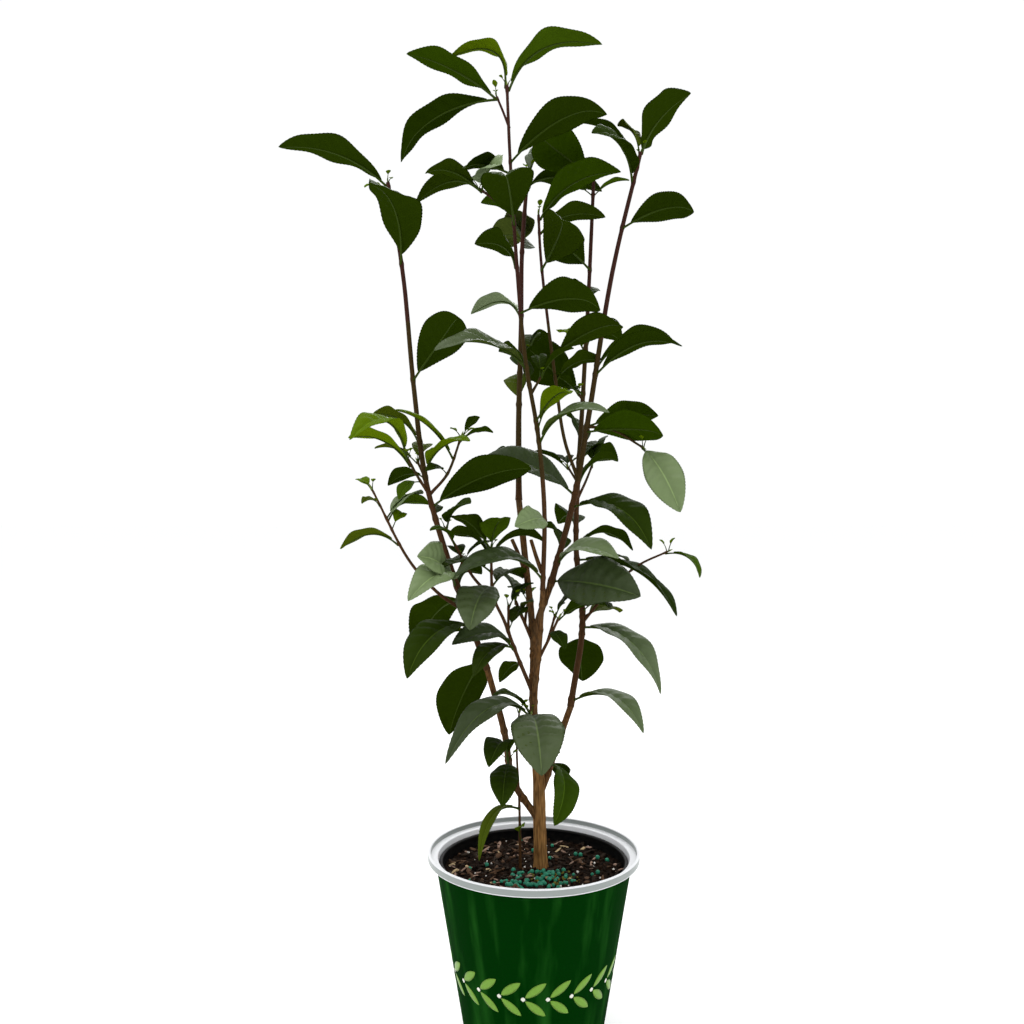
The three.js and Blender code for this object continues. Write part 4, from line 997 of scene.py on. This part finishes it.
def sprigs_of(mass):
    """Side shoots by the source's rule: a short rising twig near the middle of the stem,
    with a leaf to each side of its tip. A leaf that would pass the reach is left off."""
    random = source_numbers(mass["seed"])
    between = lambda pair: pair[0] + (pair[1] - pair[0]) * next(random)
    line, _ = smooth_line(mass["shoots"][0][0], LINE_POINTS)
    grown = []
    for number in range(mass["sprigs"]):
        place = SPRIG_ZONE * (number + between((SPRIG_FIRST, 1))) / mass["sprigs"]
        root = line[round(place * (LINE_POINTS - 1))]
        turn = between(SPRIG_TURNS)
        reach = between(SPRIG_TWIG_LENGTHS)
        tip = root + heading(turn, SPRIG_RISE) * reach
        tint = SPRIG_TINTS[number % len(SPRIG_TINTS)]
        leaves = []
        for side in (-1, 1):
            length = between(SPRIG_LEAF_LENGTHS)
            rise = between(SPRIG_LEAF_RISES)
            if reach + length < SPRIG_REACH:
                set_back = reach * (1 - SPRIG_LEAF_SET_BACK)
                leaf_turn = turn + side * SPRIG_LEAF_SPREAD
                leaves.append(
                    (set_back, leaf_turn, length, rise, SPRIG_LEAF_BOW, 0, SPRIG_LEAF_WIDTH, tint))
        grown.append(([tuple(root), tuple(tip)], SPRIG_RADII, leaves))
    return grown


shoots = []
for mass in MASSES.values():
    shoots += mass["shoots"] + sprigs_of(mass)
mass_names = list(MASSES)

# The stems are woody and brown at first, then green and purple-red towards their tips. A
# leaf joint swells the stem a little, and a slim pointed bud ends each shoot.
STEM_TONES = {
    "brown": (linear(46, 29, 15), linear(86, 58, 34)),
    "olive": (linear(40, 31, 11), linear(70, 54, 26)),
    "purple": (linear(42, 20, 17), linear(72, 44, 34)),
}
OLIVE_FROM = 470
PURPLE_FROM = 600
THICK_FROM = 1.5
THICK_STEM = {"sides": 20, "relief": 0.1}
THIN_STEM = {"sides": 12, "relief": 0.05}
stem_finishes = []
for tone, (dark, light) in STEM_TONES.items():
    stem_finish = Finish(f"stem_{tone}", roughness=0.6, specular_ior_level=0.05)
    stem_grain = stem_finish.noise(900, 4, (1, 1, 0.2))
    stem_finish.set("Base Color", stem_finish.mix(stem_grain, dark, light))
    stem_finish.set("Normal", stem_finish.bump(stem_grain, 0.0003, 0.5))
    stem_finishes.append(stem_finish)


def joined(skins):
    """One set of vertices, quads and triangles from several."""
    shifts = np.cumsum([0] + [len(points) for points, _, _ in skins[:-1]])
    points = np.concatenate([part[0] for part in skins])
    quads = np.concatenate([part[1] + shift for part, shift in zip(skins, shifts)])
    triangles = np.concatenate([part[2] + shift for part, shift in zip(skins, shifts)])
    return points, quads, triangles


stem_skins = []
stem_tips = []
for number, (route, radii, leaves) in enumerate(shoots):
    knots = sorted({leaf[0] for leaf in leaves})
    girth = THICK_STEM if radii[0] > THICK_FROM else THIN_STEM
    stem_skins.append(limb_skin(
        route, radii, seed=100 + number, knots=knots, spacing=1.1, collar=0.2, **girth))
    line, _ = smooth_line(route, 60)
    stem_tips.append((line[-1], line[-1] - line[-3]))
stem_shape = joined(stem_skins)
stem_points, stem_quads, stem_triangles = stem_shape
face_height = np.concatenate([
    stem_points[stem_quads].mean(1)[:, 2],
    stem_points[stem_triangles].mean(1)[:, 2],
])
face_tone = (face_height > OLIVE_FROM).astype(int) + (face_height > PURPLE_FROM)
stems = make_piece("stems_and_twigs", stem_shape, stem_finishes, face_tone)

BUD_LENGTHS = (4, 7)
BUD_SLIMNESS = 0.26
BUD_STATIONS = 8
BUD_SIDES = 8


def spikes(roots, headings, lengths, widths):
    """Slim closed buds: along each heading, at a share w of the way to the tip, rings whose
    radius is half the width times sin(pi w^0.7)^0.8. They swell and then come to a point."""
    headings = headings / np.linalg.norm(headings, axis=1, keepdims=True)
    first = np.cross(headings, np.array([0.3, 1.0, 0.1]))
    first /= np.linalg.norm(first, axis=1, keepdims=True)
    second = np.cross(headings, first)
    way = np.linspace(0.04, 0.96, BUD_STATIONS)[:, None]
    angle = np.arange(BUD_SIDES) / BUD_SIDES * 2 * np.pi
    swell = np.sin(np.pi * way ** 0.7) ** 0.8
    radius = widths[:, None, None] / 2 * swell
    spread = radius[..., None] * (
        np.cos(angle)[:, None] * first[:, None, None] + np.sin(angle)[:, None] * second[:, None, None])
    middles = roots[:, None] + headings[:, None] * (way * lengths[:, None, None])
    rings = middles[:, :, None] + spread
    ends = np.stack([roots, roots + headings * lengths[:, None]], 1)
    return skin(rings, ends)


bud_random = np.random.default_rng(8)
tip_roots = np.array([tip for tip, _ in stem_tips])
tip_ways = np.array([way for _, way in stem_tips])
tip_ways /= np.linalg.norm(tip_ways, axis=1, keepdims=True)
bud_lengths = bud_random.uniform(*BUD_LENGTHS, len(tip_roots))
tip_buds = spikes(tip_roots - tip_ways, tip_ways, bud_lengths, bud_lengths * BUD_SLIMNESS)
bud_finish = Finish("leaf_buds", base_color=linear(104, 118, 48), roughness=0.6, specular_ior_level=0.2)

# The leaves are leathery and toothed, folded a little along a pale midrib, and puckered
# between their side veins. They are satin above and matt below, and coloured deep, light,
# mid or young green or olive. The grey-green, hazy, silvery and pale tints are lighter, greyer
# copies of the deep green that carry painted sheen of the bright sky; the pale one is partly
# the leaves' own paler green too.
TINTS = {
    "D": [
        (linear(35, 50, 5), linear(35, 50, 3), 0.02), (linear(31, 46, 4), linear(32, 47, 2), 0.02),
        (linear(40, 54, 7), linear(40, 55, 4), 0.06),
    ],
    # Painted sheen: G, H, S and P are lighter, greyer copies of the deep green standing in for the sky's
    # sheen on the leaves; P is partly a real paler green.
    "G": [(linear(48, 61, 29), linear(60, 71, 26), 0.2)],
    "H": [(linear(64, 77, 43), linear(60, 72, 27), 0.25)],
    "S": [(linear(78, 94, 56), linear(62, 76, 28), 0.3)],
    "P": [(linear(104, 122, 78), linear(112, 126, 92), 0.35)],
    "L": [(linear(43, 63, 4), linear(44, 64, 3), 0.02)],
    "M": [(linear(56, 78, 8), linear(58, 80, 8), 0.02)],
    "O": [(linear(62, 75, 12), linear(68, 81, 12), 0.02)],
    "Y": [(linear(80, 104, 3), linear(86, 108, 6), 0.02)],
}
STATIONS = 60
ACROSS = np.array([-1, -0.86, -0.66, -0.44, -0.22, -0.035, 0.035, 0.22, 0.44, 0.66, 0.86, 1])
PETIOLE_LENGTH = 7
FOLD = 0.22
SIDE_VEINS = 8
VEIN_SWEEP = 0.16
PUCKER = 2.2
PUCKER_HALF_WIDTH = 16
TOOTH = 0.4
FULL_LEAF = 60
BLADE_THICK = 0.45
EDGE_THINNING = 0.6
MIDRIB_GROOVE = 0.3
WAVE_ROUNDS = 2.2
WAVE_SHARE = 0.13
MOST_TWIST = 0.35
TWIST_FROM = 0.2
MOST_SICKLE = 0.04
WAVE_STRENGTHS = (0.3, 1.0)
MOST_CURL = 0.06
CURL_FROM = 0.72


def leaf_frames(leaves, random):
    """For each leaf, by the source's rule: its along, side and up vectors, its length, bow
    and half width, and seeded amounts of twist, sickle bend, wave and curl."""
    values = np.array([leaf[1:7] for leaf in leaves], float)
    turn, length, rise, bow, roll, share = values.T
    turn, rise, roll = np.radians(turn), np.radians(rise), np.radians(roll)
    along = np.stack([np.cos(turn) * np.cos(rise), np.sin(turn) * np.cos(rise), np.sin(rise)], -1)
    level = np.stack([np.sin(turn), -np.cos(turn), 0 * turn], -1)
    side = level * np.cos(roll)[:, None] + np.cross(along, level) * np.sin(roll)[:, None]
    up = np.cross(side, along)
    count = len(leaves)
    return {
        "along": along, "side": side, "up": up,
        "length": length, "bow": bow, "half": length * share / 2,
        "twist": random.uniform(-MOST_TWIST, MOST_TWIST, count),
        "sickle": random.uniform(-MOST_SICKLE, MOST_SICKLE, count),
        "wave": random.uniform(*WAVE_STRENGTHS, count), "phase": random.uniform(0, 6.28, count),
        "curl": random.uniform(0.0, MOST_CURL, count),
    }


def midribs(roots, frames, t):
    """Points, sides and normals along each midrib: the root plus the chord, bowed by
    4t(1 - t), bent sideways by sin(pi t), and curled under near its tip by a square. The
    sides turn about the midrib by the twist times how far t is past TWIST_FROM."""
    along, side, up = (frames[key][:, None] for key in ("along", "side", "up"))
    length, bow, sickle, curl = (frames[key][:, None, None] for key in ("length", "bow", "sickle", "curl"))
    t = np.atleast_2d(t)[..., None]
    droop = np.clip((t - CURL_FROM) / (1 - CURL_FROM), 0, 1) ** 2
    line = roots[:, None] + length * (
        along * t + up * (bow * 4 * t * (1 - t) - curl * droop) + side * sickle * np.sin(np.pi * t))
    tangent = along + up * bow * 4 * (1 - 2 * t)
    tangent = tangent / np.linalg.norm(tangent, axis=-1, keepdims=True)
    normal = np.cross(np.broadcast_to(side, tangent.shape), tangent)
    angle = frames["twist"][:, None, None] * (t - TWIST_FROM)
    turned_side = side * np.cos(angle) + normal * np.sin(angle)
    return line, turned_side, np.cross(turned_side, tangent)


def blade_skins(roots, frames):
    """Leaf blades. At u from base to tip and a across, half the width is the source's
    sin(pi u^1.1) to the power 0.75, less a tooth at every other edge point. The height is the
    fold times |a|, a wave along the edge, and a pucker, the root of sin squared plus 0.04,
    between side veins that sweep forward, less a groove at the midrib. The underside lies a
    thickness below, thinner at the edge."""
    u = np.linspace(0.004, 0.985, STATIONS)
    neck = (PETIOLE_LENGTH / frames["length"])[:, None]
    t = neck + u * (1 - neck)
    a = np.concatenate([ACROSS, ACROSS[-2:0:-1]])
    below = np.concatenate([np.zeros(len(ACROSS)), np.ones(len(ACROSS) - 2)])
    wide = np.abs(a)
    half = frames["half"][:, None, None]
    width = half * (np.sin(np.pi * u ** 1.1) ** 0.75)[None, :, None]
    line, side, normal = midribs(roots, frames, t)
    inset = (np.arange(STATIONS) % 2) * np.clip(u / 0.12, 0, 1) * np.clip((1 - u) / 0.06, 0, 1)
    inset = TOOTH * np.minimum(1, frames["length"] / FULL_LEAF)[:, None, None] * inset[None, :, None]
    x = a * width - np.sign(a) * inset * (wide > 0.99)
    phase = SIDE_VEINS * (u[None, :, None] - VEIN_SWEEP * wide)
    pucker = np.sqrt(np.sin(np.pi * phase) ** 2 + 0.04) * np.clip((wide - 0.05) / 0.2, 0, 1)
    pucker = pucker * (1 - wide ** 3) * np.sin(np.pi * u)[None, :, None] ** 0.5
    wave_angle = 2 * np.pi * WAVE_ROUNDS * u[None, :, None] + frames["phase"][:, None, None]
    wave = np.sin(wave_angle + np.sign(a))
    y = FOLD * wide * width + PUCKER * (half / PUCKER_HALF_WIDTH) * pucker
    y = y + frames["wave"][:, None, None] * wide ** 2 * wave * width * WAVE_SHARE
    y = y - MIDRIB_GROOVE * (wide < 0.1) - below * BLADE_THICK * (1 - EDGE_THINNING * wide ** 2)
    rings = line[:, :, None] + side[:, :, None] * x[..., None] + normal[:, :, None] * y[..., None]
    ends = np.stack([line[:, 0], midribs(roots, frames, np.array([1.0]))[0][:, 0]], 1)
    return skin(rings, ends)


RIB_STATIONS = 22
RIB_SIDES = 6
RIB_RADIUS = 1.05
RIB_TAPER = 0.8
RIB_END = 0.97
RIB_HANG = 0.4


def rib_skins(roots, frames):
    """Petioles that run on as midribs: tubes along the midrib, hung under the upper side of
    the blade. The radius falls evenly by RIB_TAPER, and leaves below full length have thinner
    tubes."""
    t = np.linspace(0, RIB_END, RIB_STATIONS)
    line, side, normal = midribs(roots, frames, t)
    scale = np.clip(frames["length"] / FULL_LEAF, 0.5, 1)[:, None, None]
    radius = (RIB_RADIUS - RIB_TAPER * t[None, :, None]) * scale
    angle = np.arange(RIB_SIDES) / RIB_SIDES * 2 * np.pi
    x = radius * np.cos(angle)
    y = -radius * np.sin(angle) - RIB_HANG - radius
    rings = line[:, :, None] + side[:, :, None] * x[..., None] + normal[:, :, None] * y[..., None]
    return skin(rings, rings[:, [0, -1]].mean(2))


LAST_JOINT = 0.995
leaf_random = np.random.default_rng(77)
leaves_by_tint = {}
for number, (route, _, leaves) in enumerate(shoots):
    line, length = smooth_line(route, LINE_POINTS)
    for leaf in leaves:
        root = line[round(min(leaf[0] / length, LAST_JOINT) * (LINE_POINTS - 1))]
        tint = (leaf[7], number % len(TINTS[leaf[7]]))
        leaves_by_tint.setdefault(tint, []).append((root, leaf))

# Two small young leaves stand round each bud, bright green and rising. They are drawn with
# the other leaves, in pieces of one tint each.
YOUNG_LENGTHS = (9, 15)
YOUNG_RISES = (30, 60)
YOUNG_STEP = 150
YOUNG_BOW = 0.12
YOUNG_WIDTH = 0.34
MOST_LEAVES = 70
RIB_LIGHTER = 1.5
RIB_YELLOWER = (0.022, 0.032, 0.006)
for tip, _ in stem_tips:
    first_turn = leaf_random.uniform(0, 360)
    for step in range(2):
        length = leaf_random.uniform(*YOUNG_LENGTHS)
        rise = leaf_random.uniform(*YOUNG_RISES)
        leaf = (0, first_turn + step * YOUNG_STEP, length, rise, YOUNG_BOW, 0, YOUNG_WIDTH, "Y")
        leaves_by_tint.setdefault(("Y", 0), []).append((tip, leaf))

blade_columns = 2 * len(ACROSS) - 2
rib_shapes = []
for (letter, shade), members in sorted(leaves_by_tint.items()):
    upper, under, sheen = TINTS[letter][shade]
    finishes = []
    rib = tuple(RIB_LIGHTER * channel + more for channel, more in zip(upper, RIB_YELLOWER))
    for face, colour, roughness, gloss in (
            ("upper", upper, 0.5, sheen), ("under", under, 0.8, 0), ("rib", rib, 0.6, sheen)):
        finishes.append(Finish(
            f"leaf_{letter}{shade}_{face}".lower(), base_color=colour, roughness=roughness,
            specular_ior_level=gloss))
    for start in range(0, len(members), MOST_LEAVES):
        group = members[start:start + MOST_LEAVES]
        group_roots = np.array([root for root, _ in group])
        group_frames = leaf_frames([leaf for _, leaf in group], leaf_random)
        shape = blade_skins(group_roots, group_frames)
        rib_shapes.append(rib_skins(group_roots, group_frames))
        columns = np.tile(np.arange(blade_columns), (STATIONS + 1) * len(group))
        face_finish = (columns >= len(ACROSS) - 1) + 2 * (columns == len(ACROSS) // 2 - 1)
        tint_name = f"leaves_{letter}{shade}_{start // MOST_LEAVES}".lower()
        blades = make_piece(tint_name, shape, finishes, face_finish)
        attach(blades, "root")
        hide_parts(*mass_names)

rib_finish = Finish("leaf_ribs", base_color=linear(48, 64, 12), roughness=0.6, specular_ior_level=0.05)
ribs = make_piece("petioles_and_midribs", joined(rib_shapes), [rib_finish])
buds = make_piece("shoot_buds", tip_buds, [bud_finish])
for greenery in (stems, ribs, buds):
    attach(greenery, "root")
    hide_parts(*mass_names)
